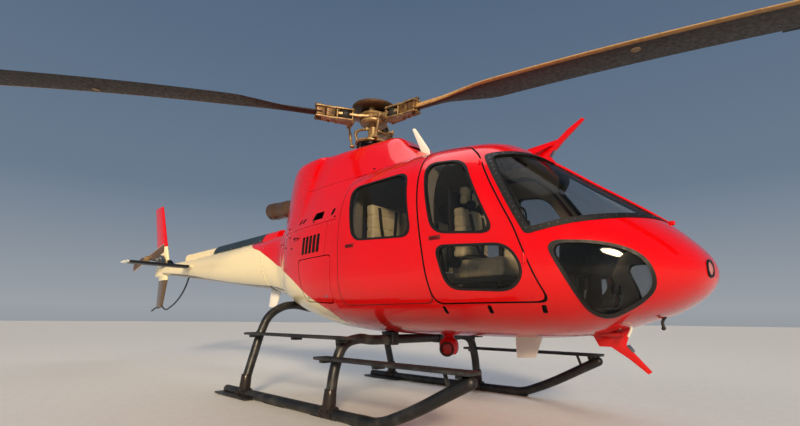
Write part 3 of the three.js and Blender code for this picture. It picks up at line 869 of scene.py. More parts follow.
BELLY_LINE = ((-6700.0, 1800.0), (-5094, 1661), (-4106, 1527), (-2938, 1389), (-2236, 1326), (-1723, 1274),
              (-1200, 1170), (-800, 1065), (-455, 958), (-221, 895), (-35, 821), (200, 735), (700, 500))
RED_LINE = ((-2700.0, 2060.0), (-2374, 1896), (-2016, 1793), (-1793, 1701), (-1601, 1609), (-1472, 1547),
            (-1200, 1480), (-768, 1399), (-456, 1284), (-274, 1191), (-111, 1095), (38, 1019), (160, 953),
            (244, 895), (290, 830), (330, 750), (460, 560))
CREAM, BELLY_BROWN, RED, DEEP_RED = "f0e2b8", "58452c", "d60208", "b80206"

# Red polyurethane enamel, sprayed wet and left to flow out: deep, even and wet-looking
RED_PAINT = Paint("red enamel", RED, DEEP_RED).material()
# The same red above the cream sweep, which is masked and sprayed over it, and a dark brown band along the
# belly below
SWEEP_PAINT = Paint("red enamel with cream sweep", RED, DEEP_RED,
                    borders=(Border(CREAM, RED_LINE), Border(BELLY_BROWN, BELLY_LINE))).material()
# The boom is cream with red flowing back over its root
BOOM_PAINT = Paint("cream enamel with red root", RED, DEEP_RED,
                   borders=(Border(CREAM, RED_LINE + ((500, 560),)),
                            Border(BELLY_BROWN, BELLY_LINE))).material()
# Cream enamel sprayed thinner, so its shine is a little softer
CREAM_PAINT = Paint("cream enamel", CREAM, "e2d3aa", 0.25).material()
# The fins are masked at two levels: red tip, cream middle and a brown foot on the lower fin
FIN_PAINT = Paint("red, cream and brown enamel", RED, DEEP_RED, borders=(
    Border(CREAM, ((-8000.0, 2405.0), (-6000, 2405))),
    Border(BELLY_BROWN, ((-8000.0, 1650.0), (-6000, 1650))))).material()
# Satin enamels hold a matting agent, which spreads their highlights
SLATE_PAINT = Paint("slate satin enamel", "2b3a46", "22303a", 0.42, 0.15).material()
BLACK_PAINT = Paint("black satin enamel", "17181b", "1f2023", 0.4, 0.2).material()
# Powder coat baked on steel tube, scuffed by boots and paler where it is rubbed
POWDER_COAT = Dull("black powder coat on steel", "131416", "4b4a48", 0.42, 3, 0.5).material()
# Grit bonded to tape: coarse and without a highlight
GRIP_TAPE = Dull("anti-slip grit tape", "0d0d0e", "2c2b2a", 0.95, 4, 0.3, 0.9).material()
# Rubber with the smooth skin of its die: black with a faint sheen
RUBBER = Dull("extruded EPDM rubber", "060607", "141415", 0.55, 5).material()
# Linings moulded against a grained tool: dull, with a fine even grain
TRIM = Dull("moulded cabin lining", "8d877b", "a39d90", 0.7, 4).material()
DARK_TRIM = Dull("black moulded ABS", "141416", "2a2a2c", 0.6, 3).material()
# Looped and woven threads: crossed ribs that take up the light
CARPET = Webbing("looped wool carpet", "3a3936", "1d1c1b", 6).material()
BELT = Webbing("polyester belt webbing", "26282c", "111214", 4).material()
# Dyed and embossed hide: warm cream with darker creases
CREAM_HIDE = Hide("cream leather", "ecdcb4", "c2b088").material()
# Acrylic blown to shape and polished: grey and clear, with a hard shine
GLASS = Acrylic("tinted stretched acrylic", "0f1112", 0.26).material()
SCREEN_GLASS = Acrylic("windscreen acrylic", "0c0e10", 0.2).material()
# Moulded and left clear: pale, bright at its edges
LENS = Acrylic("clear polycarbonate lens", "cfd4d8", 0.35).material()
# Ground cover glass over unlit screens: nearly opaque and smooth
DISPLAY = Acrylic("display cover glass", "05070a", 0.95, 0.06).material()
# Primed forgings of the rotor head, tan with an oil film
TAN_FORGING = Metal("primed aluminium forging", "a58a60", "725a38", 0.42, 8, metallic=0.35).material()
# Brushed with bronze paint and weathered by rain and heat: brown and patchy
BRONZE_CAP = Metal("weathered bronze-painted cap", "54391f", "2e2116", 0.5, 9, metallic=0.25).material()
# Forged and kept oiled: brown with darker stains
ADAPTER = Metal("oiled forged adapter", "7c5a30", "3f2c18", 0.45, 8, metallic=0.35).material()
# Ground along one way, which draws its highlights out into streaks
STEEL = Metal("ground steel", "a7a8aa", "85868a", 0.28, 3, (1, 1, 8)).material()
# Cast in sand and blasted: grey, mottled and soft in its shine
CAST = Metal("cast aluminium housing", "8a8c8f", "6c6e72", 0.45, 9).material()
# Blackened in a hot bath: nearly black with a faint sheen
DARK_STEEL = Metal("blackened steel", "34353a", "232428", 0.42, 5).material()
# Rubber and steel leaves bonded in a press: dull, brown where it is rubbed
ELASTOMER = Dull("laminated elastomer", "1a1917", "3a352c", 0.7, 4).material()
# Gel coat laid in a polished mould: white with a soft shine
WHITE_PLASTIC = Paint("white gel coat", "ece9e0", "dedad0", 0.35, 0.3).material()
# Laminated glass-fibre blade skin, matt brown, its nose sheathed in worn steel
BLADE_SKIN = Bands("matt paint on glass laminate",
                   ((0.0, "b9925c"), (0.075, "9c7745"), (0.095, "2b211b"), (0.6, "241c18"), (1.0, "1b1614")),
                   "chord", 0.0, 0.55, "3a2c22").material()
# The tail blades' skin is painted a warmer brown behind a bare nose
TAIL_BLADE_SKIN = Bands("brown paint on glass laminate",
                        ((0.0, "a8a39a"), (0.1, "8f8a80"), (0.13, "5c4432"), (1.0, "4a3628")),
                        "chord", 0.0, 0.5, "6e5540").material()
# Nickel steel jet pipe: straw and bronze heat tints that darken towards the hot end
HOT_PIPE = Bands("heat-tinted nickel steel",
                 ((0.0, "5b4430"), (0.3, "94703f"), (0.55, "dcae68"), (0.8, "c8985a"), (1.0, "86643e")),
                 "heat", 0.35, 0.36, "4a3625").material()
# Soot baked on by the exhaust: black and without a shine
SOOT = Dull("sooted steel", "0c0b0b", "1d1917", 0.9, 5).material()
# Rolled on concrete: pale, even and dull
FLOOR = Dull("studio floor paint", "c9c8c4", "bfbdb8", 0.7, 60, 0.5, 0.3).material()


# Body sections


FINE_STEPS = 1441  # points round a section, before they are spaced evenly
CORNER_STEPS = 10  # lengths in a rounded corner
PRISM_FOOT, PRISM_END = 25.0, 1300.0  # how far from the middle an outline's prism starts and ends
PANE_GAP = 0.5  # between a pane and its opening


@dataclass(frozen=True)
class Hull:
    """A body through a table of superellipse sections.

    Columns of the rows: station, lowest, widest and highest level, half width, the powers below and
    above the widest level, and how far the wall leans inwards for each millimetre above that level.
    nose is how much sooner the inner skins end.
    """

    rows: tuple[tuple[float, ...], ...]
    nose: float = 0.0

    def row(self, x: float) -> list[float]:
        """One row at any station, by a smooth curve through the rows.

        Args:
            x: The station.

        Returns:
            The row's values.
        """
        rows = self.rows
        last = len(rows) - 1
        i = min(max(sum(1 for r in rows if r[0] <= x) - 1, 0), last - 1)
        low, high = rows[i], rows[i + 1]
        span = high[0] - low[0]
        t = min(max((x - low[0]) / span, 0), 1)

        def slope(j: int, column: int) -> float:
            """The curve's slope at a row, in one column."""
            a, b = rows[max(j - 1, 0)], rows[min(j + 1, last)]
            return (b[column] - a[column]) / (b[0] - a[0])

        values = [x]
        for column in range(1, len(low)):
            step = high[column] - low[column]
            start, end = slope(i, column) * span, slope(i + 1, column) * span
            values.append(low[column] + start * t + (3 * step - 2 * start - end) * t**2
                          + (start + end - 2 * step) * t**3)
        return values

    def section(self, x: float) -> tuple[float, ...]:
        """A row with its lean, which is nought where the table has none."""
        return (*self.row(x), 0.0)[:8]

    def ring(self, x: float, inset: float, count: int) -> np.ndarray:
        """Evenly spaced points round a section, its wall moved inwards by inset.

        Args:
            x: The station.
            inset: How far inside the surface it lies.
            count: How many points it has.

        Returns:
            The points.
        """
        _, low, wide, high, half, low_power, top_power, lean = self.section(x + self.nose * inset)
        turn = np.linspace(0, 2 * math.pi, FINE_STEPS) + math.pi / 2
        c, s = np.cos(turn), np.sin(turn)
        power = 2 / np.where(s >= 0, top_power, low_power)
        reach = np.where(s >= 0, high - inset - wide, wide - low - inset)
        z = wide + reach * np.sign(s) * np.abs(s) ** power
        y = (half - inset - lean * np.maximum(z - wide, 0)) * np.sign(c) * np.abs(c) ** power
        length = np.concatenate([[0], np.cumsum(np.hypot(np.diff(y), np.diff(z)))])
        even = np.linspace(0, length[-1], count, endpoint=False)
        return np.stack([np.full(count, x), np.interp(even, length, y), np.interp(even, length, z)], axis=1)

    def body(self, start: float, stop: float, inset: float = 0, steps: int = 96, count: int = 144,
             crowd: float = 0, finish: Finish | None = None) -> Piece:
        """The closed body between two stations, its rings closer together at the far end as crowd grows.

        Args:
            start: The first station.
            stop: The last station.
            inset: How far inside the surface it lies.
            steps: How many lengths it has.
            count: How many points a section has.
            crowd: How much closer its last sections lie, from nought to one.
            finish: The material that it carries, if any.

        Returns:
            The mesh.
        """
        t = np.linspace(0, 1, steps + 1)
        stations = start + (stop - start) * ((1 - crowd) * t + crowd * np.sin(t * math.pi / 2))
        piece = wrapped(np.stack([self.ring(x, inset, count) for x in stations]))
        if finish is not None:
            piece.data.materials.append(finish)
        return piece

    def across(self, x: float, z: float) -> float:
        """Half of the body's width at a station and level.

        Args:
            x: The station.
            z: The level.

        Returns:
            The distance from the middle.
        """
        _, low, wide, high, half, low_power, top_power, lean = self.section(x)
        reach, power = (high - wide, top_power) if z >= wide else (wide - low, low_power)
        share = min(abs(z - wide) / reach, 1)
        return (half - lean * max(z - wide, 0)) * (1 - share**power) ** (1 / power)

    def spot(self, x: float, z: float, side: int, proud: float = 0) -> Spot:
        """A point on the side at a station and level, and the outward normal there.

        Args:
            x: The station.
            z: The level.
            side: One for port, minus one for starboard.
            proud: How far it stands off the surface.

        Returns:
            The point and the normal.
        """
        step = 2.0
        point = Vector((x, self.across(x, z) * side, z))
        along = Vector((x + step, self.across(x + step, z) * side, z)) - point
        up = Vector((x, self.across(x, z + step) * side, z + step)) - point
        normal = along.cross(up).normalized() * -side
        return point + normal * proud, normal

    def belly(self, x: float, y: float) -> float:
        """The lowest level of the body at a station, off the centre line by y."""
        _, low, wide, _, half, power, _, _ = self.section(x)
        return wide - (wide - low) * (1 - min(abs(y) / half, 1) ** power) ** (1 / power)

    def crown(self, x: float, y: float) -> float:
        """The highest level of the body at a station, off the centre line by y.

        Args:
            x: The station.
            y: The distance from the middle.

        Returns:
            The level.
        """
        _, _, wide, high, half, _, power, lean = self.section(x)
        share = min(abs(y) / (half - lean * (high - wide)), 1)
        return wide + (high - wide) * (1 - share**power) ** (1 / power)


BULKHEAD, NOSE, DECK, BOOM_JOINT = 440.0, 3335.0, 1800.0, -1900.0
CABIN = Hull((
    (440, 700, 1300, 2430, 921, 2.6, 2.8), (800, 690, 1300, 2430, 930, 2.6, 2.8),
    (1200, 690, 1300, 2430, 930, 2.6, 2.8), (1600, 690, 1300, 2400, 925, 2.6, 2.8),
    (2000, 690, 1280, 2330, 905, 2.6, 2.6), (2300, 700, 1260, 2122, 870, 2.5, 2.4),
    (2600, 735, 1230, 1888, 800, 2.4, 2.2), (2900, 822, 1200, 1660, 657, 2.3, 2.1),
    (3100, 895, 1178, 1494, 505, 2.2, 2.1), (3240, 985, 1160, 1348, 345, 2.1, 2.1),
    (3310, 1065, 1155, 1250, 200, 2.0, 2.0), (3335, 1125, 1150, 1180, 40, 2.0, 2.0)), 0.8)
REAR = Hull((
    (-1900, 1232, 1700, 2030, 345, 2.2, 2.0), (-1450, 1115, 1600, 2120, 370, 2.3, 2.0),
    (-1200, 1065, 1520, 2400, 450, 2.4, 2.0), (-1000, 1000, 1480, 2700, 580, 2.5, 2.0),
    (-700, 910, 1420, 2760, 740, 2.6, 2.1), (-400, 835, 1380, 2780, 820, 2.7, 2.2),
    (0, 745, 1330, 2780, 885, 2.7, 2.2), (440, 700, 1300, 2767, 921, 2.6, 2.2)))
COWLS = Hull((
    (-1450, 1000, DECK, 2120, 342, 2, 2.5, 0.1), (-1200, 1000, DECK, 2400, 427, 2, 3, 0.12),
    (-1050, 1000, DECK, 2640, 530, 2, 6, 0.13), (-940, 1000, DECK, 2752, 596, 2, 12, 0.143),
    (-700, 1000, DECK, 2780, 715, 2, 12, 0.21), (-430, 1000, DECK, 2785, 783, 2, 12, 0.289),
    (-330, 1000, DECK, 2785, 804, 2, 12, 0.363), (-100, 1000, DECK, 2782, 839, 2, 12, 0.42),
    (190, 1000, DECK, 2780, 867, 2, 12, 0.484), (440, 1000, DECK, 2778, 882, 2, 12, 0.539),
    (680, 1000, DECK, 2765, 890, 2, 12, 0.589), (850, 1000, DECK, 2640, 894, 2, 8, 0.62),
    (1000, 1000, DECK, 2540, 894, 2, 6, 0.64), (1150, 1000, DECK, 2450, 894, 2, 5, 0.66)))
BOOM = Hull(((-6600, 1765, 1850, 1975, 110, 2, 2), (-4800, 1565, 1790, 1985, 170, 2, 2),
             (-1900, 1232, 1700, 2020, 340, 2.2, 2)))


@dataclass(frozen=True)
class Outline:
    """A side outline of corners, x and z, each rounded over a reach along its edges."""

    corners: tuple[Pair, ...]
    radius: float

    def points(self, grow: float = 0) -> list[Pair]:
        """The outline with its edges moved out by grow, its corners as short curves.

        Args:
            grow: How far outside the outline's own edges it lies.

        Returns:
            The points, x and z.
        """
        corners = [Vector(c) for c in self.corners]
        n = len(corners)
        area = sum(a.x * b.y - b.x * a.y for a, b in zip(corners, corners[1:] + corners[:1]))
        side = grow * math.copysign(1, area)
        edges = []
        for a, b in zip(corners, corners[1:] + corners[:1]):
            along = (b - a).normalized()
            edges.append((a + Vector((along.y, -along.x)) * side, along))
        moved = []
        for i, (start, along) in enumerate(edges):
            before, way = edges[i - 1]
            det = way.x * along.y - way.y * along.x
            gap = start - before
            moved.append(before + way * ((gap.x * along.y - gap.y * along.x) / det))
        points = []
        for i, corner in enumerate(moved):
            ends = []
            for other in (moved[i - 1], moved[(i + 1) % n]):
                span = (other - corner).length
                ends.append(corner.lerp(other, min(self.radius, span * 0.499) / span))
            for k in range(CORNER_STEPS + 1):
                t = k / CORNER_STEPS
                point = ends[0] * (1 - t) ** 2 + corner * 2 * t * (1 - t) + ends[1] * t**2
                points.append((point.x, point.y))
        return points

    def prism(self, side: int, grow: float = 0, inner: float = PRISM_FOOT,
              finish: Finish | None = None) -> Piece:
        """The outline pushed across one side of the body.

        Args:
            side: One for port, minus one for starboard.
            grow: How far it lies outside the outline.
            inner: How near the middle it starts.
            finish: The material that it carries, if any.

        Returns:
            The mesh.
        """
        piece = slab([(x, inner * side, z) for x, z in self.points(grow)],
                     (0, (PRISM_END - inner) * side, 0))
        if finish is not None:
            piece.data.materials.append(finish)
        return piece

    def spaced(self, pitch: float, grow: float = 0) -> list[Pair]:
        """Points every pitch along the outline.

        Args:
            pitch: The distance between two points.
            grow: How far they lie outside the outline.

        Returns:
            The points, x and z.
        """
        line = self.points(grow)
        line.append(line[0])
        length = [0.0]
        for a, b in zip(line, line[1:]):
            length.append(length[-1] + math.dist(a, b))
        count = round(length[-1] / pitch)
        even = [length[-1] * i / count for i in range(count)]
        return [(float(np.interp(e, length, [p[0] for p in line])),
                 float(np.interp(e, length, [p[1] for p in line])))
                for e in even]


FRONT_DOOR = Outline(((1400, 2300), (1800, 2255), (1955, 2110), (2316, 1470), (2513, 958), (1648, 958)), 80)
REAR_DOOR = Outline(((470, 2200), (1388, 2300), (1636, 958), (546, 958), (505, 1600)), 80)
UPPER_WINDOW = Outline(((1480, 2140), (1850, 2090), (2190, 1440), (1665, 1500)), 130)
LOWER_WINDOW = Outline(((1690, 1390), (2285, 1350), (2395, 1160), (2300, 1030), (1800, 1060)), 110)
REAR_WINDOW = Outline(((560, 2105), (1290, 2105), (1450, 1500), (725, 1550)), 130)
WINDSHIELD = Outline(((2409, 1412), (2195, 1785), (2005, 2110), (2330, 2192), (2500, 2260), (3300, 1800),
                      (3150, 1540), (2670, 1472)), 40)
CHIN_WINDOW = Outline(((2530, 1345), (2840, 1325), (3045, 1240), (3095, 1060), (2990, 945), (2735, 825),
                       (2665, 1060)), 120)
LOCKER_DOOR = Outline(((-240, 1445), (395, 1445), (395, 985), (-120, 1015)), 60)
DOOR_POST = Outline(((1340, 2500), (1480, 2500), (1700, 880), (1560, 880)), 10)

SKIN, DOOR_GAP, BEHIND = 35.0, 9.0, 6.0
SEAM = 3.0  # between panels that don't move


@lru_cache(maxsize=None)
def cabin_body(inset: float, back: float, finish: str = "") -> Piece:
    """A hidden master of the cabin's outer shape, moved inwards by inset.

    Args:
        inset: How far inside the outer shape it lies.
        back: Its rear station.
        finish: The name of its material, if it has one.

    Returns:
        The master, which is kept for later calls.
    """
    stop = NOSE if inset <= 0 else 3290 - 0.8 * inset
    piece = CABIN.body(back, stop, inset, 118, 168, 0.4, bpy.data.materials.get(finish))
    piece.name = f"master_cabin_{inset:g}_{back:g}"
    return piece


def cabin_layer(outer: float, inner: float, finish: str = "red enamel", lining: str = "moulded cabin lining",
                inner_back: float = BULKHEAD - 50) -> Piece:
    """The cabin's wall between two depths, with a finish outside and another inside.

    Args:
        outer: How far inside the outer shape it starts.
        inner: How far inside the outer shape it ends.
        finish: The name of its material outside.
        lining: The name of its material inside.
        inner_back: The rear station of the hollow.

    Returns:
        The mesh.
    """
    layer = copied(cabin_body(outer, BULKHEAD, finish))
    return combine(layer, Boolean.CUT, copied(cabin_body(inner, inner_back, lining)))


def drop_masters() -> None:
    """Removes the hidden masters."""
    for piece in [o for o in bpy.data.objects if o.name.startswith("master_")]:
        bpy.data.objects.remove(piece)
    cabin_body.cache_clear()


def screw(radius: float = 5, height: float = 2) -> Piece:
    """A countersunk screw head with a slot, its axis along Z.

    Args:
        radius: The head's radius.
        height: The head's height.

    Returns:
        The mesh.
    """
    head = rod((0, 0, -height), (0, 0, height * 0.6), radius, radius * 0.8, 10)
    with editing(head):
        choose(head, lambda _, normal: normal.z > 0.9)
        bpy.ops.mesh.inset(thickness=radius * 0.35 * MM)
        bpy.ops.mesh.extrude_region_move(TRANSFORM_OT_translate={"value": (0, 0, -height * 0.4 * MM)})
    return head


def rivet(radius: float = 4.5) -> Piece:
    """A domed rivet head, its axis along Z.

    Args:
        radius: The head's radius.

    Returns:
        The mesh.
    """
    head = rod((0, 0, -1), (0, 0, 1.2), radius, radius * 0.85, 8)
    with editing(head):
        choose(head, lambda _, normal: normal.z > 0.9)
        bpy.ops.mesh.inset(thickness=radius * 0.35 * MM, depth=0.7 * MM)
    return head


def band(layer: Piece, outline: Outline, side: int, outside: float, inside: float) -> Piece:
    """A rubber seal that follows a window's edge, cut from a layer of the wall.

    Args:
        layer: The layer.
        outline: The window's outline.
        side: One for port, minus one for starboard.
        outside: How far it reaches outside the outline.
        inside: How far it reaches inside the outline.

    Returns:
        The mesh.
    """
    ring = combine(outline.prism(side, outside, finish=RUBBER), Boolean.CUT,
                   outline.prism(side, -inside, 20, finish=RUBBER))
    return combine(copied(layer), Boolean.KEEP, ring)


@dataclass
class Cabin:
    """The cabin's shell, floor and fixed glazing."""

    floor_low: float = 860
    floor_high: float = 920
    floor_front: float = 2640
    seal: float = 10
    frame: float = 34
    # Width of the black strip along the door seams, which is partly a seal and partly painted shade
    seam_shade_strip: float = 2.5
    screw_pitch: float = 48
    slots: tuple[float, ...] = (1700, 2088, 2462)
    slot_level: float = 905
    light: Pair = (3318, 1166)

    def shell(self) -> None:
        """The skin with its door, window and sill openings."""
        shell = cabin_layer(0, SKIN, inner_back=BULKHEAD + SKIN)
        depth = cabin_body(SKIN + BEHIND, BULKHEAD - 50, RUBBER.name)
        for side in SIDES.values():
            for outline, grow in ((FRONT_DOOR, DOOR_GAP), (REAR_DOOR, 0.4), (WINDSHIELD, 0),
                                  (CHIN_WINDOW, 0)):
                hole = combine(outline.prism(side, grow, finish=RUBBER), Boolean.CUT, copied(depth))
                combine(shell, Boolean.CUT, hole)
            for x in self.slots:
                combine(shell, Boolean.CUT, self.sill_slot(x, side))
        posts = [combine(cabin_layer(SKIN - 5, SKIN + 60, lining=TRIM.name, finish=TRIM.name), Boolean.KEEP,
                         DOOR_POST.prism(side)) for side in SIDES.values()]
        dress(joined("cabin_posts", *posts), "cabin_posts", TRIM, "airframe", "panel_plastic")
        dress(shell, "cabin_skin", None, "airframe", "red_paint", "cabin_shell")
        floor = combine(cube((BULKHEAD + 5, -900, self.floor_low), (self.floor_front, 900, self.floor_high)),
                        Boolean.KEEP, copied(cabin_body(SKIN - 5, BULKHEAD - 50)))
        dress(floor, "cabin_floor", CARPET, "airframe", "panel_plastic")

    def sill_slot(self, x: float, side: int) -> Piece:
        """The cutter of a small upright drain slot below the doors.

        Args:
            x: The station.
            side: One for port, minus one for starboard.

        Returns:
            The cutter.
        """
        slot = block((-16, -30, -38), (16, 30, 38), 8, 3)
        slot.data.materials.append(RUBBER)
        return stood(slot, CABIN.spot(x, self.slot_level, side))

    def glazing(self) -> None:
        """The two halves of the windscreen and the chin windows, with their seals and screws."""
        pane = cabin_layer(7, 13)
        seal = cabin_layer(-3, 22, finish=RUBBER.name, lining=RUBBER.name)
        flush = cabin_layer(-12, -0.8, finish=RUBBER.name, lining=RUBBER.name)
        flange = cabin_layer(15, 21, finish=RUBBER.name, lining=RUBBER.name)
        for label, side in SIDES.items():
            for outline, name, glass in ((WINDSHIELD, "windshield", SCREEN_GLASS),
                                         (CHIN_WINDOW, "chin_window", GLASS)):
                sheet = combine(copied(pane), Boolean.KEEP,
                                outline.prism(side, -PANE_GAP, PRISM_FOOT + PANE_GAP))
                dress(sheet, f"{name}_glass_{label}", glass, "airframe", "tinted_glass", f"{name}_{label}")
                inside = self.frame if outline is WINDSHIELD else self.seal
                dress(band(seal, outline, side, self.seal, inside), f"{name}_frame_{label}", RUBBER,
                      "airframe", "black_paint")
            heads = [CABIN.spot(x, z, side, 3.6)
                     for x, z in WINDSHIELD.spaced(self.screw_pitch, -self.frame * 0.42)
                     if z < 0.985 * CABIN.row(x)[3] and CABIN.across(x, z) > 60]
            dress(scatter(screw(6.5, 3), heads), f"windshield_screws_{label}", STEEL, "airframe",
                  "machined_metal")
            # Black rubber round each door opening: a stop behind the gap and a thin strip proud of the skin
            # at its edge. They are partly real seals and partly painted shade that darkens the door seams.
            dress(band(flange, FRONT_DOOR, side, DOOR_GAP + 1, 14), f"front_door_stop_{label}", RUBBER,
                  "airframe", "black_paint")
            rim = band(seal, FRONT_DOOR, side, DOOR_GAP + self.seam_shade_strip, -DOOR_GAP)
            back = combine(band(seal, REAR_DOOR, side, self.seam_shade_strip, SEAM), Boolean.CUT,
                           FRONT_DOOR.prism(side, DOOR_GAP, 20))
            for piece, name in ((rim, "front_door"), (back, "sliding_door")):
                combine(piece, Boolean.CUT, copied(flush))
                dress(piece, f"{name}_weather_seal_{label}", RUBBER, "airframe", "black_paint")
        for layer in (pane, seal, flush, flange):
            bpy.data.objects.remove(layer)

    def centre_post(self) -> None:
        """The red strip down the middle of the windscreen, which guides a wire to the cutter."""
        stations = np.linspace(2280, 3080, 30)
        rings = []
        for i, x in enumerate(stations):
            taper = 1 - 0.35 * i / len(stations)
            top = CABIN.crown(x, 0)
            rings.append([(x, -24 * taper, top - 6), (x, -20 * taper, top + 9), (x, -9, top + 22 * taper),
                          (x, 9, top + 22 * taper), (x, 20 * taper, top + 9), (x, 24 * taper, top - 6)])
        strip = wrapped(np.array(rings, float))
        dress(bevel(strip, 2, 2), "windshield_centre_strip", RED_PAINT, "airframe", "red_paint")
        stop = block((3075, -16, CABIN.crown(3085, 0) - 5), (3112, 16, CABIN.crown(3085, 0) + 26), 6, 3)
        dress(stop, "strip_foot", RED_PAINT, "airframe", "red_paint")

    def nose_light(self) -> None:
        """The landing light let into the tip of the nose."""
        rim = lathe([(56, -20), (60, -4), (58, 3), (50, 5), (44, 0), (43, -20)], "X", (0, 0, 0), 40)
        lens = lathe([(0, -8), (44, -8), (44, -2), (36, 3), (18, 7), (0, 8)], "X", (0, 0, 0), 40)
        for piece, name, finish, slot in ((rim, "nose_light_rim", BLACK_PAINT, "black_paint"),
                                          (lens, "nose_light_lens", LENS, "tinted_glass")):
            dress(stood(piece, CABIN.spot(*self.light, SIDES["starboard"]), "X"), name, finish, "airframe",
                  slot)

    def build(self) -> None:
        """Builds and dresses the whole cabin."""
        self.shell()
        self.glazing()
        self.centre_post()
        self.nose_light()


@dataclass
class Doors:
    """The hinged front doors and the sliding rear doors, with their windows and handles."""

    lip: float = 10
    lip_width: float = 25
    seal: float = 9
    hinges: tuple[Pair, ...] = ((1985, 2040), (2392, 1240))

    def front(self, label: str, side: int, layers: dict[str, Piece]) -> None:
        """A front door: a frame of full depth, with a thin lip that laps its opening.

        Args:
            label: The side's name.
            side: One for port, minus one for starboard.
            layers: The layers of the cabin's wall.
        """
        body = f"front_door_{label}"
        door = combine(copied(layers["wall"]), Boolean.KEEP,
                       FRONT_DOOR.prism(side, -self.lip_width, finish=RED_PAINT))
        edge = combine(copied(layers["lip"]), Boolean.KEEP, FRONT_DOOR.prism(side, finish=RUBBER))
        combine(door, Boolean.JOIN, edge)
        combine(door, Boolean.CUT, UPPER_WINDOW.prism(side, finish=RUBBER),
                LOWER_WINDOW.prism(side, finish=RUBBER))
        dress(door, f"{body}_skin", None, body, "red_paint", body)
        for outline, name in ((UPPER_WINDOW, "upper"), (LOWER_WINDOW, "lower")):
            sheet = combine(copied(layers["pane"]), Boolean.KEEP,
                            outline.prism(side, -PANE_GAP, PRISM_FOOT + PANE_GAP))
            dress(sheet, f"{body}_{name}_pane", GLASS, body, "tinted_glass", f"door_{name}_glass_{label}")
            dress(band(layers["seal"], outline, side, self.seal, self.seal), f"{body}_{name}_seal", RUBBER,
                  body, "black_paint")
        self.handle(f"{body}_handle", 1690, 1455, side, body, 55)
        for number, (x, z) in enumerate(self.hinges):
            pin = rod((0, 4, -38), (0, 4, 38), 7, sides=16, edge=2)
            leaf = block((-22, -2, -30), (4, 4, 30), 2)
            hinge = stood(joined("hinge", leaf, pin), CABIN.spot(x, z, side))
            dress(hinge, f"{body}_hinge_{number + 1}", RED_PAINT, body, "red_paint")

    def handle(self, name: str, x: float, z: float, side: int, body: str, length: float) -> None:
        """A flush grip: a shallow dish with a bar across it.

        Args:
            name: Its name.
            x: Its station.
            z: Its level.
            side: One for port, minus one for starboard.
            body: The body it moves with.
            length: Half of its length.
        """
        dish = block((-length, -3, -17), (length, 1.5, 17), 8, 4)
        with editing(dish):
            choose(dish, lambda centre, way: way.y > 0.9)
            bpy.ops.mesh.inset(thickness=5 * MM)
            bpy.ops.mesh.extrude_region_move(TRANSFORM_OT_translate={"value": (0, -3 * MM, 0)})
        grip = pipe([(-length * .8, 0, 0), (-length * .6, 9, 0), (length * .6, 9, 0), (length * .8, 0, 0)], 5,
                    12, 6)
        whole = stood(joined("handle", dish, grip), CABIN.spot(x, z, side))
        dress(whole, name, DARK_TRIM, body, "black_paint")

    def sliding(self, label: str, side: int, layers: dict[str, Piece]) -> None:
        """A rear door, which runs back on a rail along the body.

        Args:
            label: The side's name.
            side: One for port, minus one for starboard.
            layers: The layers of the cabin's wall.
        """
        door = combine(copied(layers["wall"]), Boolean.KEEP, REAR_DOOR.prism(side, -SEAM, finish=RUBBER))
        combine(door, Boolean.CUT, FRONT_DOOR.prism(side, DOOR_GAP, 20, finish=RUBBER),
                REAR_WINDOW.prism(side, finish=RUBBER))
        dress(door, f"sliding_door_skin_{label}", None, "airframe", "red_paint", f"sliding_door_{label}")
        sheet = combine(copied(layers["pane"]), Boolean.KEEP,
                        REAR_WINDOW.prism(side, -PANE_GAP, PRISM_FOOT + PANE_GAP))
        dress(sheet, f"sliding_door_pane_{label}", GLASS, "airframe", "tinted_glass",
              f"sliding_door_glass_{label}")
        seal = band(layers["seal"], REAR_WINDOW, side, self.seal, self.seal)
        dress(seal, f"sliding_door_seal_{label}", RUBBER, "airframe", "black_paint")
        self.handle(f"sliding_door_handle_{label}", 690, 1500, side, "airframe", 62)

    def build(self) -> None:
        """Builds and dresses the four doors."""
        layers = {
            "wall": cabin_layer(0, SKIN),
            "lip": cabin_layer(0, self.lip),
            "pane": cabin_layer(8, 14),
            "seal": cabin_layer(-3, 20, finish=RUBBER.name, lining=RUBBER.name),
        }
        for label, side in SIDES.items():
            self.front(label, side, layers)
            self.sliding(label, side, layers)
        for layer in layers.values():
            bpy.data.objects.remove(layer)


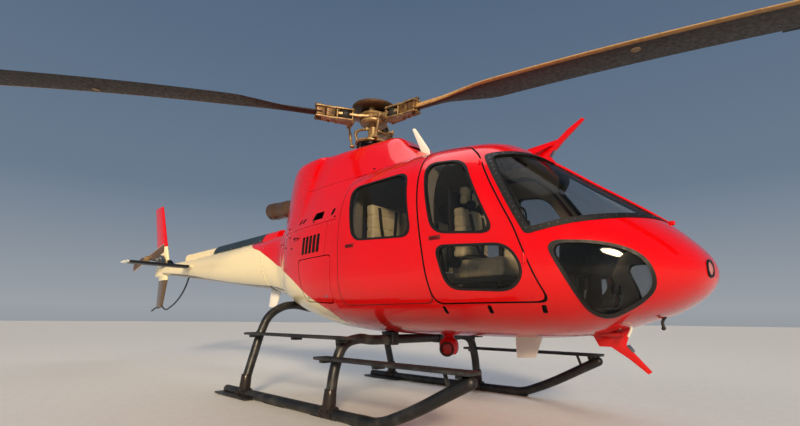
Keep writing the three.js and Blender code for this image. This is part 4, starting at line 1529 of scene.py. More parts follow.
@dataclass
class RearBody:
    """The body behind the cabin, its lockers and the cowlings over the gearbox and the engine."""

    wall: float = 25
    cowl_front: float = 1150
    cowl_split: float = -430
    cowl_rear: float = -1450
    cowl_wall: float = 18
    cowl_roof: float = 2200
    grille: tuple[float, float, float, float] = (-180, 190, 1500, 1690)
    slots: int = 5
    groove_depth: float = 3.5
    exhaust_level: float = 2389
    exhaust_front: float = -1060
    rise: float = 0.07

    def groove(self, piece: Piece, hull: Hull, low: Triple, high: Triple) -> None:
        """Scores a panel joint where a thin box meets the surface of a hull.

        Args:
            piece: The skin that is scored.
            hull: The shape of that skin.
            low: The box's lowest corner.
            high: The box's highest corner.
        """
        start, stop = hull.rows[0][0], hull.rows[-1][0]
        skin = hull.body(start - 20, stop + 20, -6, 60, 72, finish=RUBBER)
        combine(skin, Boolean.CUT, hull.body(start - 40, stop + 40, self.groove_depth, 60, 72,
                                                 finish=RUBBER))
        combine(skin, Boolean.KEEP, cube(low, high))
        combine(piece, Boolean.CUT, skin)

    def shell(self) -> None:
        """The red body with its cream sweep, its grilles and the openings of its lockers."""
        shell = REAR.body(BOOM_JOINT + 0.4, BULKHEAD - SEAM, 0, 92, 150, finish=SWEEP_PAINT)
        inner = REAR.body(BOOM_JOINT - 60, BULKHEAD - self.wall, self.wall, 60, 96, finish=DARK_TRIM)
        combine(inner, Boolean.CUT, cube((self.cowl_rear - 30, -1200, DECK - self.wall), (1600, 1200, 3200)))
        combine(shell, Boolean.CUT, cube((self.cowl_rear - 0.4, -1200, DECK), (1600, 1200, 3200)), inner)
        back, front, low, high = self.grille
        pitch = (front - back) / self.slots
        for label, side in SIDES.items():
            combine(shell, Boolean.CUT, LOCKER_DOOR.prism(side, DOOR_GAP, 300, finish=DARK_TRIM))
            near, far = sorted((640 * side, 1000 * side))
            for i in range(self.slots):
                x = back + pitch * (i + 0.12)
                cutter = block((x, near, low), (x + pitch * 0.72, far, high), 6, 2)
                cutter.data.materials.append(DARK_TRIM)
                combine(shell, Boolean.CUT, cutter)
            self.louvres(label, side, back, pitch, low, high)
        for low_corner, high_corner in (((-692, -1200, 1000), (-688, 1200, DECK + 10)),
                                        ((285, -1200, 700), (288.5, 1200, DECK + 10)),
                                        ((-1455, -1200, 1100), (-1451, 1200, 2300))):
            self.groove(shell, REAR, low_corner, high_corner)
        dress(shell, "rear_body_skin", None, "airframe", "red_paint", "rear_body")

    def louvres(self, label: str, side: int, back: float, pitch: float, low: float, high: float) -> None:
        """Slanted blades behind the slots of an air grille.

        Args:
            label: The side's name.
            side: One for port, minus one for starboard.
            back: The grille's rear station.
            pitch: From slot to slot.
            low: The grille's lowest level.
            high: The grille's highest level.
        """
        blades = []
        for i in range(self.slots):
            x = back + pitch * (i + 0.5)
            y = (REAR.across(x, (low + high) / 2) - 22) * side
            leaf = block((x - 24, -1.5, low - 8), (x + 18, 1.5, high + 8), 1)
            turn = Matrix.Translation(Vector((x, y, 0)) * MM) @ Matrix.Rotation(0.5 * side, 4, "Z")
            leaf.data.transform(turn @ Matrix.Translation(Vector((-x, 0, 0)) * MM))
            blades.append(leaf)
        depth = REAR.across(0, (low + high) / 2)
        backing = combine(beside(side, (back - 20, depth - 56, low - 20),
                                 (back + pitch * self.slots + 20, depth - 50, high + 20), 0.5),
                          Boolean.KEEP, REAR.body(BOOM_JOINT, BULKHEAD - 30, 30, 24, 48))
        dress(joined("louvres", *blades, backing), f"grille_louvres_{label}", DARK_TRIM, "airframe",
              "panel_plastic")

    def lockers(self) -> None:
        """The luggage locker doors, each with two quarter-turn latches."""
        wall = REAR.body(-400, BULKHEAD - SEAM, 0, 60, 150, finish=SWEEP_PAINT)
        combine(wall, Boolean.CUT, REAR.body(-450, BULKHEAD + 20, self.wall, 40, 96, finish=DARK_TRIM))
        for label, side in SIDES.items():
            body = f"locker_door_{label}"
            door = combine(copied(wall), Boolean.KEEP, LOCKER_DOOR.prism(side, 0, 300, finish=SWEEP_PAINT))
            dress(door, f"{body}_skin", None, body, "red_paint", body)
            latches = [REAR.spot(x, 1050, side, 1) for x in (-40, 300)]
            dress(scatter(self.latch(), latches), f"{body}_latches", STEEL, body, "machined_metal")
        bpy.data.objects.remove(wall)

    def latch(self, radius: float = 15) -> Piece:
        """A round quarter-turn latch with a raised bar."""
        disc = rod((0, 0, -3), (0, 0, 2.5), radius, radius * 0.92, 24, 1)
        return joined("latch", disc, block((-radius * .75, -3, 2), (radius * .75, 3, 6), 1.5))

    def cowl(self, start: float, stop: float) -> Piece:
        """One length of the cowling, hollow and open below.

        Args:
            start: Its rear station.
            stop: Its front station.

        Returns:
            The mesh.
        """
        shell = COWLS.body(self.cowl_rear, self.cowl_front, 0, 130, 200, finish=RED_PAINT)
        combine(shell, Boolean.CUT, cube((-2500, -1200, 0), (1600, 1200, DECK + 2 * SEAM)),
                COWLS.body(self.cowl_rear + 30, self.cowl_front - 60, self.cowl_wall, 90, 140,
                           finish=DARK_TRIM),
                cube((BULKHEAD - SEAM, -1000, 0), (1700, 1000, self.cowl_roof)),
                CABIN.body(BULKHEAD - SEAM, NOSE, -2, 80, 120, 0.4, RUBBER),
                rod((20, 0, 2550), (20, 0, 3000), 250, sides=64),
                block((760, -330, 2470), (1500, 330, 2600), 20, 3),
                self.duct(self.exhaust_front + 30, -2400, 137))
        return combine(shell, Boolean.KEEP, cube((start, -1200, 1000), (stop, 1200, 3200)))

    def duct(self, front: float, back: float, radius: float) -> Piece:
        """A round cutter along the exhaust's axis."""
        ends = [(x, 0, self.exhaust_level + (self.exhaust_front - x) * self.rise) for x in (front, back)]
        return rod(ends[0], ends[1], radius, sides=48)

    def cowlings(self) -> None:
        """The gearbox cowling with its intakes and vents, and the engine cowling."""
        front = self.cowl(self.cowl_split + SEAM / 2, 1600)
        rear = self.cowl(-2500, self.cowl_split - SEAM / 2)
        for side in SIDES.values():
            near, far = sorted((600 * side, 1000 * side))
            intake = slab([(-60, near, 1860), (148, near, 1858), (126, near, 1946), (-30, near, 1946)],
                          (0, far - near, 0))
            intake.data.materials.append(DARK_TRIM)
            hole = slab([(305 + 24 * math.cos(a), near, 1905 + 44 * math.sin(a))
                         for a in np.linspace(0, math.tau, 24, endpoint=False)],
                        (0, far - near, 0))
            hole.data.materials.append(DARK_TRIM)
            combine(front, Boolean.CUT, intake, hole)
            for x in (-372, -290):
                vent = slab([(x, near, 1866), (x + 42, near, 1866), (x + 84, near, 1918),
                             (x + 42, near, 1918)], (0, far - near, 0))
                vent.data.materials.append(DARK_TRIM)
                combine(front, Boolean.CUT, vent)
        self.groove(front, COWLS, (-420, -1200, 2290), (1100, 1200, 2293.5))
        dress(front, "transmission_cowling_skin", None, "airframe", "red_paint", "transmission_cowling")
        dress(rear, "engine_cowling_skin", None, "airframe", "red_paint", "engine_cowling")

    def hardware(self) -> None:
        """Latches and screws that hold the cowlings and panels, and the hand holds."""
        for label, side in SIDES.items():
            spots = [REAR.spot(x, z, side, 1) for x, z in ((-545, 1745), (-445, 1604), (-691, 1472),
                                                           (-640, 1640))]
            spots += [COWLS.spot(x, z, side, 1) for x, z in ((-620, 1860), (0, 1838), (380, 1838),
                                                             (640, 2340))]
            dress(scatter(self.latch(13), spots), f"cowl_latches_{label}", DARK_STEEL, "airframe",
                  "machined_metal")
            edges = [COWLS.spot(x, DECK + 26, side, 0.5) for x in range(-1000, 440, 90)]
            edges += [REAR.spot(x, DECK - 24, side, 0.5) for x in range(-1300, 440, 90)]
            edges += [COWLS.spot(self.cowl_split + off, z, side, 0.5) for off in (-30, 30)
                      for z in range(1860, 2680, 90)]
            edges += [REAR.spot(-718, z, side, 0.5) for z in range(1060, 1760, 80)]
            dress(scatter(screw(5, 2), edges), f"body_screws_{label}", STEEL, "airframe", "machined_metal")
            bar = stood(pipe([(-60, -4, 0), (-48, 16, 0), (48, 16, 0), (60, -4, 0)], 6, 12, 6),
                        REAR.spot(-330, 1700, side))
            dress(bar, f"hand_hold_{label}", DARK_STEEL, "airframe", "machined_metal")

    def build(self) -> None:
        """Builds and dresses the rear body."""
        self.shell()
        self.lockers()
        self.cowlings()
        self.hardware()


@dataclass
class Exhaust:
    """The jet pipe behind the engine cowling."""

    front: float = -1060
    back: float = -2250
    level: float = 2389
    rise: float = 0.07
    radius: float = 125
    wall: float = 6

    def at(self, x: float) -> float:
        """The pipe's level at a station."""
        return self.level + (self.front - x) * self.rise

    def build(self) -> None:
        """Builds the pipe with its swaged bands and rolled lip, open at its end."""
        stations = [self.front, -1300, -1420, -1432, -1450, -1462, -1620, -1780, -1792, -1810, -1822, -1980,
                    -2110, -2122, -2138, -2150, -2235, self.back]
        swell = {-1432: 5, -1450: 5, -1792: 5, -1810: 5, -2122: 5, -2138: 5, self.back: 4}
        turn = np.linspace(0, 2 * math.pi, 64, endpoint=False)
        rings = []
        for x in stations + stations[::-1]:
            inside = len(rings) >= len(stations)
            radius = self.radius + swell.get(x, 0) - (self.wall if inside else 0)
            rings.append(np.stack([np.full(64, x + (3 if inside and x == self.back else 0)),
                                   radius * np.cos(turn), self.at(x) + radius * np.sin(turn)], axis=1))
        rings.append(rings[0])
        pipe_piece = wrapped(np.array(rings))
        heat = pipe_piece.data.attributes.new("heat", "FLOAT", "POINT")
        values = []
        for vertex in pipe_piece.data.vertices:
            x, height = vertex.co.x / MM, vertex.co.z / MM - self.at(vertex.co.x / MM)
            along = (x - self.back) / (self.front - self.back)
            values.append(min(1, max(0, 0.3 + 0.4 * along - 0.34 * height / self.radius)))
        heat.data.foreach_set("value", values)
        dress(pipe_piece, "jet_pipe", HOT_PIPE, "airframe", "hot_metal", "exhaust_pipe")
        cone = lathe([(0, -1600), (26, -1560), (46, -1500), (54, -1400), (54, -1280), (0, -1280)], "X",
                     (0, 0, self.at(-1400)), 40)
        dress(cone, "turbine_cone", SOOT, "airframe", "hot_metal")
        clamp = lathe([(self.radius + 2, -14), (self.radius + 14, -12), (self.radius + 14, 12),
                       (self.radius + 2, 14), (self.radius - 1, 14), (self.radius - 1, -14)], "X",
                      (-1560, 0, self.at(-1560)), 56)
        dress(clamp, "jet_pipe_clamp", DARK_STEEL, "airframe", "hot_metal")


def aerofoil(thick: float, count: int = 40) -> list[Pair]:
    """A symmetrical section, from nose to tail and back. Columns: share of chord, and offset.

    Args:
        thick: The thickness, as a share of the chord.
        count: How many points it has.

    Returns:
        The points.
    """
    turn = np.linspace(0, 2 * math.pi, count, endpoint=False)
    along = (1 - np.cos(turn)) / 2
    half = 5 * thick * (0.2969 * np.sqrt(along) - 0.126 * along - 0.3516 * along**2 + 0.2843 * along**3
                        - 0.1015 * along**4)
    return [(float(a), float(h if t <= math.pi else -h)) for a, h, t in zip(along, half, turn)]


def fin(rows: Sequence[tuple[float, float, float, float]], put: Callable[[float, float, float], Triple],
        steps: int = 14) -> Piece:
    """A straight or tapered surface with rounded tips. Columns: across, front, back and thickness.

    Args:
        rows: The first and last section.
        put: Turns along, off and across into a point.
        steps: How many lengths it has.

    Returns:
        The mesh.
    """
    rings = []
    low, high = rows[0], rows[-1]
    for i in range(steps + 1):
        t = i / steps
        across, front, back, thick = (a + (b - a) * t for a, b in zip(low, high))
        near = min(t, 1 - t) * steps
        # The last length draws in towards the tip
        flatter, shorter = (1, 1) if near >= 1 else (0.86, 0.985)
        middle = front + (back - front) * 0.35
        front, back = middle + (front - middle) * shorter, middle + (back - middle) * shorter
        rings.append([put(front + (back - front) * along, off * flatter, across)
                      for along, off in aerofoil(thick)])
    return wrapped(np.array(rings, float))


@dataclass
class Tail:
    """The boom, stabiliser, fins and drive shaft covers."""

    stabiliser: tuple[float, float, float, float] = (-4790, -5220, 1800, 62)
    reach: float = 1265
    rivet_pitch: float = 120
    joint_level: float = 2060

    def boom(self) -> None:
        """The riveted boom, its frames and the bands at its joints."""
        shell = BOOM.body(-6600, BOOM_JOINT - 0.5, 0, 60, 96, finish=BOOM_PAINT)
        for x in (-2560, -3700, -4700, -5400):
            ring = combine(BOOM.body(x - 1, x + 1, -5, 2, 96, finish=CREAM_PAINT), Boolean.CUT,
                           BOOM.body(x - 5, x + 5, 1, 2, 96, finish=CREAM_PAINT))
            combine(shell, Boolean.CUT, ring)
        dress(shell, "tail_boom_skin", None, "airframe", "cream_paint", "tail_boom")
        spots = []
        for side in SIDES.values():
            for x in (-2535, -2585, -3675, -3725, -4675, -4725, -5375, -5425):
                _, low, _, high, *_ = BOOM.row(x)
                spots += [BOOM.spot(x, low + (high - low) * k / 12, side) for k in range(2, 11)]
            for share in (0.32, 0.62):
                for x in np.arange(-6500, -1950, self.rivet_pitch):
                    _, low, _, high, *_ = BOOM.row(x)
                    spots.append(BOOM.spot(float(x), low + (high - low) * share, side))
        dress(scatter(rivet(4), spots), "boom_rivets", CREAM_PAINT, "airframe", "cream_paint")
        collar = BOOM.body(BOOM_JOINT - 46, BOOM_JOINT - 4, -7, 4, 96)
        bolts = []
        for side in SIDES.values():
            for k in range(1, 12):
                _, low, _, high, *_ = BOOM.row(BOOM_JOINT - 25)
                bolts.append(BOOM.spot(BOOM_JOINT - 25, low + (high - low) * k / 12, side, 7))
        dress(bevel(collar, 3), "boom_joint_band", BOOM_PAINT, "airframe", "cream_paint")
        dress(scatter(screw(7, 5), bolts), "boom_joint_bolts", STEEL, "airframe", "machined_metal")

    def surfaces(self) -> None:
        """The stabiliser with pale tip caps, and the two fins."""
        front, back, level, thick = self.stabiliser

        def flat(x: float, off: float, y: float) -> Triple:
            """A point of the stabiliser."""
            return (x, y, level - off)

        span = self.reach - 45
        piece = fin([(-span, front, back, thick), (span, front, back, thick)], flat, 24)
        dress(piece, "stabiliser_skin", BLACK_PAINT, "airframe", "black_paint", "stabiliser")
        for label, side in SIDES.items():
            cap = fin([(span * side, front, back, thick),
                       (self.reach * side, front - 12, back + 25, thick * 0.6)], flat, 6)
            dress(cap, f"stabiliser_cap_{label}", WHITE_PLASTIC, "airframe", "cream_paint")
            cuff = fin([(120 * side, front + 14, back - 14, thick + 22),
                        (215 * side, front + 6, back - 6, thick + 9)], flat, 6)
            dress(cuff, f"stabiliser_cuff_{label}", CREAM_PAINT, "airframe", "cream_paint")
            tab = beside(side, (back - 32, 420, level - 2), (back + 12, 900, level + 2), 1)
            dress(tab, f"stabiliser_tab_{label}", BLACK_PAINT, "airframe", "black_paint")

        def upright(x: float, off: float, z: float) -> Triple:
            """A point of a fin."""
            return (x, off, z)

        upper = fin([(1930, -6425, -7130, 92), (3390, -7095, -7605, 50)], upright, 30)
        lower = fin([(1790, -6470, -7030, 84), (1060, -6680, -7050, 46)], upright, 18)
        heel = block((-7150, -48, 1742), (-6585, 48, 1958), 30, 4)
        combine(upper, Boolean.JOIN, lower, heel)
        dress(upper, "tail_fin_skin", FIN_PAINT, "airframe", "cream_paint", "tail_fin")
        guard = pipe([(-5330, 0, 1640), (-5430, 0, 1500), (-5600, 0, 1340), (-5850, 0, 1190),
                      (-6200, 0, 1060), (-6480, 0, 1010), (-6690, 0, 1080)], 15, 20, 10)
        skid_tip = pipe([(-6690, 0, 1085), (-6900, 0, 1052), (-7060, 0, 1050), (-7320, 0, 985)], 17, 20, 8)
        dress(joined("guard", guard, skid_tip), "tail_guard_tube", POWDER_COAT, "airframe", "black_paint",
              "tail_guard")

    def covers(self) -> None:
        """The covers of the tail drive shaft: red, then slate, then cream."""
        # Columns: station, top level, half width and slope of each end, finish, name, slot, solid
        table = (
            ((BOOM_JOINT - 2, 2140, 120, 0), (-2294, 2138, 110, 0.9), RED_PAINT, "red", "red_paint",
             "shaft_cover_front"),
            ((-2303, 2136, 113, 0.9), (-4010, 2116, 91, 0.9), SLATE_PAINT, "slate", "slate_paint",
             "shaft_cover_middle"),
            ((-4020, 2108, 60, 0.9), (-5450, 2098, 50, 0), CREAM_PAINT, "cream", "cream_paint",
             "shaft_cover_rear"),
        )
        turn = np.linspace(0, math.pi, 25)
        for start, stop, finish, name, slot, solid in table:
            rings = []
            for t in np.linspace(0, 1, 30):
                x, top, half, slope = (a + (b - a) * t for a, b in zip(start, stop))
                foot = BOOM.crown(x, half) - 12
                level = foot + (top - foot) * np.sin(turn) ** 0.55
                # The joints lean forwards as they rise
                rings.append(np.stack([x + slope * (level - self.joint_level), half * np.cos(turn), level],
                                      axis=1))
            dress(bevel(wrapped(np.array(rings)), 4, 2, 60), f"shaft_cover_{name}", finish, "airframe", slot,
                  solid)
        clips = []
        for x in range(-3950, -2350, 310):
            for side in SIDES.values():
                clips.append((Vector((x, side * 118, BOOM.crown(x, 100) + 14)), Vector((0, side, 0.2))))
        dress(scatter(block((-12, -16, -3), (12, 16, 4), 2), clips), "shaft_cover_clips", STEEL, "airframe",
              "machined_metal")

    def build(self) -> None:
        """Builds and dresses the tail."""
        self.boom()
        self.surfaces()
        self.covers()


@dataclass
class TailRotor:
    """The two-blade tail rotor and its gearbox."""

    radius: float = 930
    chord: float = 185

    def blade(self, turn: int) -> Piece:
        """One blade, with a chord attribute for its painted nose.

        Args:
            turn: One for the blade that points forward, minus one for the other.

        Returns:
            The mesh.
        """
        rows = ((120, 62, 0.42), (200, 84, 0.3), (270, 130, 0.2), (330, self.chord, 0.12),
                (620, self.chord, 0.1), (self.radius - 14, self.chord, 0.09),
                (self.radius, self.chord * 0.94, 0.06))
        rings, shares = [], []
        for out, chord, thick in rows:
            section = aerofoil(thick, 36)
            rings.append([(turn * out, off * chord, turn * chord * (0.3 - along)) for along, off in section])
            shares.append([along for along, _ in section])
        piece = wrapped(np.array(rings, float))
        mark_chord(piece, np.array(rings, float), np.array(shares))
        return piece

    def build(self) -> None:
        """Builds and dresses the rotor, its pitch links and its gearbox."""
        blades = joined("blades", self.blade(1), self.blade(-1))
        dress(blades, "tail_rotor_blades", TAIL_BLADE_SKIN, "tail_rotor", "rotor_blade", "tail_rotor",
              datum=TAIL_HUB)
        hub = [lathe([(0, -62), (34, -62), (52, -48), (60, -20), (60, 22), (44, 40), (22, 62), (0, 62)], "Y",
                     (0, 0, 0), 40),
               block((-215, -19, -38), (215, 19, 38), 8, 3)]
        for turn in (1, -1):
            hub += [rod((turn * 150, -30, 0), (turn * 150, 30, 0), 17, sides=20, edge=2),
                    rod((turn * 240, -26, 16), (turn * 240, 26, 16), 10, sides=16, edge=1),
                    rod((turn * 240, -26, -16), (turn * 240, 26, -16), 10, sides=16, edge=1),
                    pipe([(turn * 60, 52, turn * 60), (turn * 150, 40, turn * 74),
                          (turn * 165, 10, turn * 44)], 7, 12, 8)]
        dress(joined("hub", *hub), "tail_rotor_hub", TAN_FORGING, "tail_rotor", "rotor_head", datum=TAIL_HUB)
        x, y, z = -6665, -370, 2090
        case = [lathe([(0, 110), (70, 110), (104, 90), (108, 20), (92, -8), (58, -34), (40, -60), (40, -100),
                       (0, -100)],
                      "Y", (x, -160, z), 48),
                block((-6800, -178, 1985), (-6528, -54, 2122), 26, 4),
                rod((x, y + 62, z), (x, -160, z), 31, sides=32, edge=2)]
        for k in range(8):
            a = math.tau * k / 8
            case.append(rod((x + 92 * math.cos(a), -172, z + 92 * math.sin(a)),
                            (x + 92 * math.cos(a), -186, z + 92 * math.sin(a)), 8, sides=6))
        dress(joined("case", *case), "tail_gearbox_case", CAST, "airframe", "machined_metal", "tail_gearbox")
        fairing = fin([(1960, -6180, -6560, 120), (2080, -6400, -6600, 70)], lambda a, b, c: (a, b, c), 8)
        dress(fairing, "tail_gearbox_fairing", BLACK_PAINT, "airframe", "black_paint")


def mark_chord(piece: Piece, rings: np.ndarray, shares: np.ndarray) -> None:
    """Writes on each point of a blade its share of the chord, counted from the nose.

    Args:
        piece: The blade.
        rings: The points of its sections.
        shares: The share of the chord at each of those points.
    """
    spots = {tuple(np.round(p, 2)): s for ring, row in zip(rings, shares) for p, s in zip(ring, row)}
    chord = piece.data.attributes.new("chord", "FLOAT", "POINT")
    chord.data.foreach_set("value", [spots.get(tuple(np.round(np.array(v.co) / MM, 2)), 0.5)
                                     for v in piece.data.vertices])


@dataclass
class MainRotor:
    """The rotor head, its controls and the three blades."""

    radius: float = 5345
    chord: float = 350
    root: float = 640
    droop: float = 395
    slope: float = -0.012
    twist: Pair = (7, -3)

    def sag(self, r: float) -> float:
        """How far a blade hangs below its flat plane at a radius."""
        return self.slope * r - self.droop * (r / self.radius) ** 2

    def blade(self) -> Piece:
        """One blade, drooping under its own weight.

        Returns:
            The mesh, its root at the rotor's axis.
        """
        # Columns: radius, chord share and thickness share of the full chord
        table = ((self.root, .3, .2), (900, .3, .19), (1000, .32, .18), (1100, .37, .175), (1250, .57, .155),
                 (1400, .78, .138), (1520, .93, .125), (1640, 1, .12), (2400, 1, .12), (3200, 1, .11),
                 (4000, 1, .1), (4800, 1, .095), (5300, 1, .09), (5330, .99, .07), (self.radius, .96, .03))
        stops = [row[0] for row in table]
        fine = sorted(set(stops) | set(np.linspace(1640, 5300, 44)))
        rings, shares = [], []
        for r in fine:
            chord = self.chord * float(np.interp(r, stops, [row[1] for row in table]))
            thick = self.chord * float(np.interp(r, stops, [row[2] for row in table]))
            pitch = math.radians(self.twist[0] + (self.twist[1] - self.twist[0]) * r / self.radius)
            section = aerofoil(thick / chord, 56)
            ring = []
            for along, off in section:
                behind, up = chord * (along - 0.3), off * chord
                ring.append((r, behind * math.cos(pitch) + up * math.sin(pitch),
                             up * math.cos(pitch) - behind * math.sin(pitch) + self.sag(r)))
            rings.append(ring)
            shares.append([along for along, _ in section])
        piece = wrapped(np.array(rings, float))
        mark_chord(piece, np.array(rings, float), np.array(shares))
        return piece

    def trim(self, r: float, width: float, back: float) -> Piece:
        """A thin tab on the trailing edge, which follows the blade's droop.

        Args:
            r: Its middle's radius.
            width: Its length along the blade.
            back: How far it stands out behind.

        Returns:
            The mesh.
        """
        ends = []
        for reach in (r - width / 2, r + width / 2):
            pitch = math.radians(self.twist[0] + (self.twist[1] - self.twist[0]) * reach / self.radius)
            ends.append((reach, self.chord * 0.7 * math.cos(pitch) - 12,
                         self.sag(reach) - self.chord * 0.7 * math.sin(pitch)))
        (x1, y1, z1), (x2, y2, z2) = ends
        return slab([(x1, y1, z1 - 1.5), (x2, y2, z2 - 1.5), (x2, y2, z2 + 1.5), (x1, y1, z1 + 1.5)],
                    (0, 12 + back, 0))

    def blades(self) -> None:
        """The three blades with their root pins, trim tabs and balance marks."""
        for i, datum in enumerate(ARMS):
            body = "main_rotor"
            dress(self.blade(), f"main_rotor_blade_{i + 1}", BLADE_SKIN, body, "rotor_blade",
                  f"main_blade_{i + 1}", datum=datum, angle=50)
            tabs = joined("tabs", self.trim(4300, 300, 26), self.trim(3950, 300, 22),
                          self.trim(4650, 300, 22))
            dress(tabs, f"blade_tabs_{i + 1}", DARK_STEEL, body, "rotor_blade", datum=datum)
            r = 2950
            ring = lathe([(27, -1.4), (36, -1.4), (36, 1.4), (27, 1.4)], "Z", (r, 0, self.sag(r) - 21.5), 32)
            dress(ring, f"blade_mark_{i + 1}", TAN_FORGING, body, "rotor_blade", datum=datum)
            pins = []
            for x in (self.root + 18, self.root + 60):
                pins += [rod((x, 0, -96), (x, 0, 84), 16, sides=24, edge=2),
                         rod((x, 0, 74), (x, 0, 92), 24, sides=6, edge=1.5),
                         rod((x, 0, -102), (x, 0, -86), 24, sides=6, edge=1.5)]
            cuff = block((self.root - 40, -58, -62), (self.root + 66, 58, 42), 10, 3)
            dress(joined("pins", *pins, cuff), f"blade_root_{i + 1}", ADAPTER, body, "machined_metal",
                  datum=datum)

    def head(self) -> None:
        """The star, sleeves, bearings and the vibration absorber on top."""
        star = lathe([(0, -70), (150, -70), (168, -52), (168, -30), (150, -20), (150, 20), (166, 34),
                      (160, 60), (0, 60)])
        parts = [star]
        for i in range(3):
            turn = Matrix.Rotation(math.radians(120 * i), 4, "Z")
            arm = slab([(90, -128, -19), (215, -74, -19), (390, -64, -19), (455, -48, -19), (472, 0, -19),
                        (455, 48, -19), (390, 64, -19), (215, 74, -19), (90, 128, -19)], (0, 0, 38))
            arm = bevel(arm, 8, 3, 40)
            arm.data.transform(turn)
            parts.append(arm)
        dress(joined("star", *parts), "rotor_star", TAN_FORGING, "main_rotor", "rotor_head", "rotor_head",
              datum=HUB
              @ Matrix.Rotation(math.radians(REST_AZIMUTH), 4, "Z"))
        for i, datum in enumerate(ARMS):
            self.sleeve(i + 1, datum)
        absorber = lathe([(0, 112), (110, 106), (200, 104), (248, 112), (268, 130), (272, 146), (258, 164),
                          (215, 178), (110, 188), (0, 191)], steps=72)
        dress(absorber, "absorber_dome", BRONZE_CAP, "main_rotor", "rotor_head", datum=HUB)
        stack = [rod((0, 0, 58), (0, 0, 118), 62, sides=40, edge=3)]
        for k in range(4):
            a = math.tau * k / 4 + 0.6
            stack += [block((130 * math.cos(a) - 26, 130 * math.sin(a) - 26, 56),
                            (130 * math.cos(a) + 26, 130 * math.sin(a) + 26, 110), 5)]
        for k in range(12):
            a = math.tau * k / 12
            stack.append(rod((112 * math.cos(a), 112 * math.sin(a), 58),
                             (112 * math.cos(a), 112 * math.sin(a), 78), 12, sides=6, edge=1))
        dress(joined("stack", *stack), "rotor_hub_stack", TAN_FORGING, "main_rotor", "rotor_head", datum=HUB)

    def sleeve(self, number: int, datum: Matrix) -> None:
        """The two plates that carry a blade, its bearing, adapter and pitch horn.

        Args:
            number: The blade's number.
            datum: The blade's datum.
        """
        plates = []
        for z in (44, -82):
            outline = [(242, -54, z), (276, -90, z), (420, -82, z), (520, -64, z), (640, -72, z),
                       (710, -66, z), (722, 0, z), (710, 66, z), (640, 72, z), (520, 64, z), (420, 82, z),
                       (276, 90, z), (242, 54, z)]
            sheet = bevel(slab(outline, (0, 0, 20)), 4, 2, 40)
            with editing(sheet):
                choose(sheet, lambda _, normal: abs(normal.z) > 0.95)
                bpy.ops.mesh.inset(thickness=13 * MM, depth=-3 * MM, use_individual=True)
            plates.append(sheet)
        for x, y in ((275, 62), (275, -62), (460, 56), (460, -56), (550, 46), (550, -46)):
            plates += [rod((x, y, -88), (x, y, 70), 9, sides=16),
                       rod((x, y, 62), (x, y, 76), 15, sides=6, edge=1),
                       rod((x, y, -94), (x, y, -82), 15, sides=6, edge=1)]
        horn = [block((244, -182, -78), (306, -70, -44), 9, 3),
                rod((275, -172, -92), (275, -172, -30), 17, sides=20, edge=2)]
        dress(joined("sleeve", *plates, *horn), f"blade_sleeve_{number}", TAN_FORGING, "main_rotor",
              "rotor_head", datum=datum)
        adapter = [block((480, -60, -60), (590, 60, 42), 8, 3)]
        adapter += [block((x, -66, -58), (x + 7, 66, 40), 2) for x in (500, 525, 550)]
        dress(joined("adapter", *adapter), f"blade_adapter_{number}", ADAPTER, "main_rotor", "rotor_head",
              datum=datum)
        rubber = lathe([(0, -62), (58, -62), (78, -40), (84, -18), (78, -18), (78, 18), (84, 18), (76, 34),
                        (52, 44), (0, 44)],
                       "Z", (352, 0, 0), 36)
        dress(rubber, f"blade_bearing_{number}", ELASTOMER, "main_rotor", "rotor_head", datum=datum)

    def controls(self) -> None:
        """The swashplate, its scissors, the pitch links and the mast."""
        turning = [lathe([(124, -322), (196, -326), (210, -314), (210, -296), (190, -286), (130, -288)],
                         steps=64),
                   lathe([(70, -420), (78, -416), (80, -250), (62, -200), (60, -70), (0, -70), (0, -420)],
                         steps=40)]
        links = []
        for i in range(3):
            turn = Matrix.Rotation(math.radians(REST_AZIMUTH + 120 * i), 4, "Z")
            lug = block((188, -196, -324), (246, -132, -296), 8, 3)
            arm = [rod((228, -166, -300), (274, -170, -62), 12, sides=20), ball((228, -166, -304), 24),
                   ball((275, -170, -60), 24), rod((240, -167, -240), (262, -169, -125), 18, sides=24,
                                                   edge=3)]
            for piece in (lug, *arm):
                piece.data.transform(turn)
            turning.append(lug)
            links += arm
        for i in (0, 1):
            turn = Matrix.Rotation(math.radians(60 + 180 * i), 4, "Z")
            scissor = [pipe([(70, 0, -120), (210, 0, -190), (190, 0, -290)], 15, 16, 8),
                       ball((210, 0, -190), 24), block((55, -22, -140), (95, 22, -100), 6)]
            for piece in scissor:
                piece.data.transform(turn)
            turning += scissor
        dress(joined("swashplate", *turning), "swashplate_turning", TAN_FORGING, "main_rotor", "rotor_head",
              datum=HUB)
        dress(joined("links", *links), "pitch_links", TAN_FORGING, "main_rotor", "machined_metal", datum=HUB)
        fixed = [lathe([(112, -372), (184, -372), (196, -360), (192, -336), (116, -334)], steps=64),
                 lathe([(0, -900), (160, -900), (150, -880), (120, -700), (112, -560), (112, -430),
                        (100, -428), (0, -428)], steps=56)]
        for k in range(3):
            a = math.radians(30 + 120 * k)
            c, s = math.cos(a), math.sin(a)
            fixed += [rod((205 * c, 205 * s, -760), (205 * c, 205 * s, -520), 34, sides=28, edge=4),
                      rod((205 * c, 205 * s, -540), (196 * c, 196 * s, -372), 14, sides=20),
                      ball((194 * c, 194 * s, -366), 24),
                      block((160 * c - 26, 160 * s - 26, -700),
                            (160 * c + 60 * c + 26, 160 * s + 60 * s + 26, -640), 8) if c > 0 and s > 0
                      else rod((120 * c, 120 * s, -690), (205 * c, 205 * s, -690), 24, sides=20),
                      pipe([(205 * c + 30, 205 * s, -560), (250 * c + 40, 250 * s, -640),
                            (230 * c + 30, 230 * s, -780)], 8, 12, 8)]
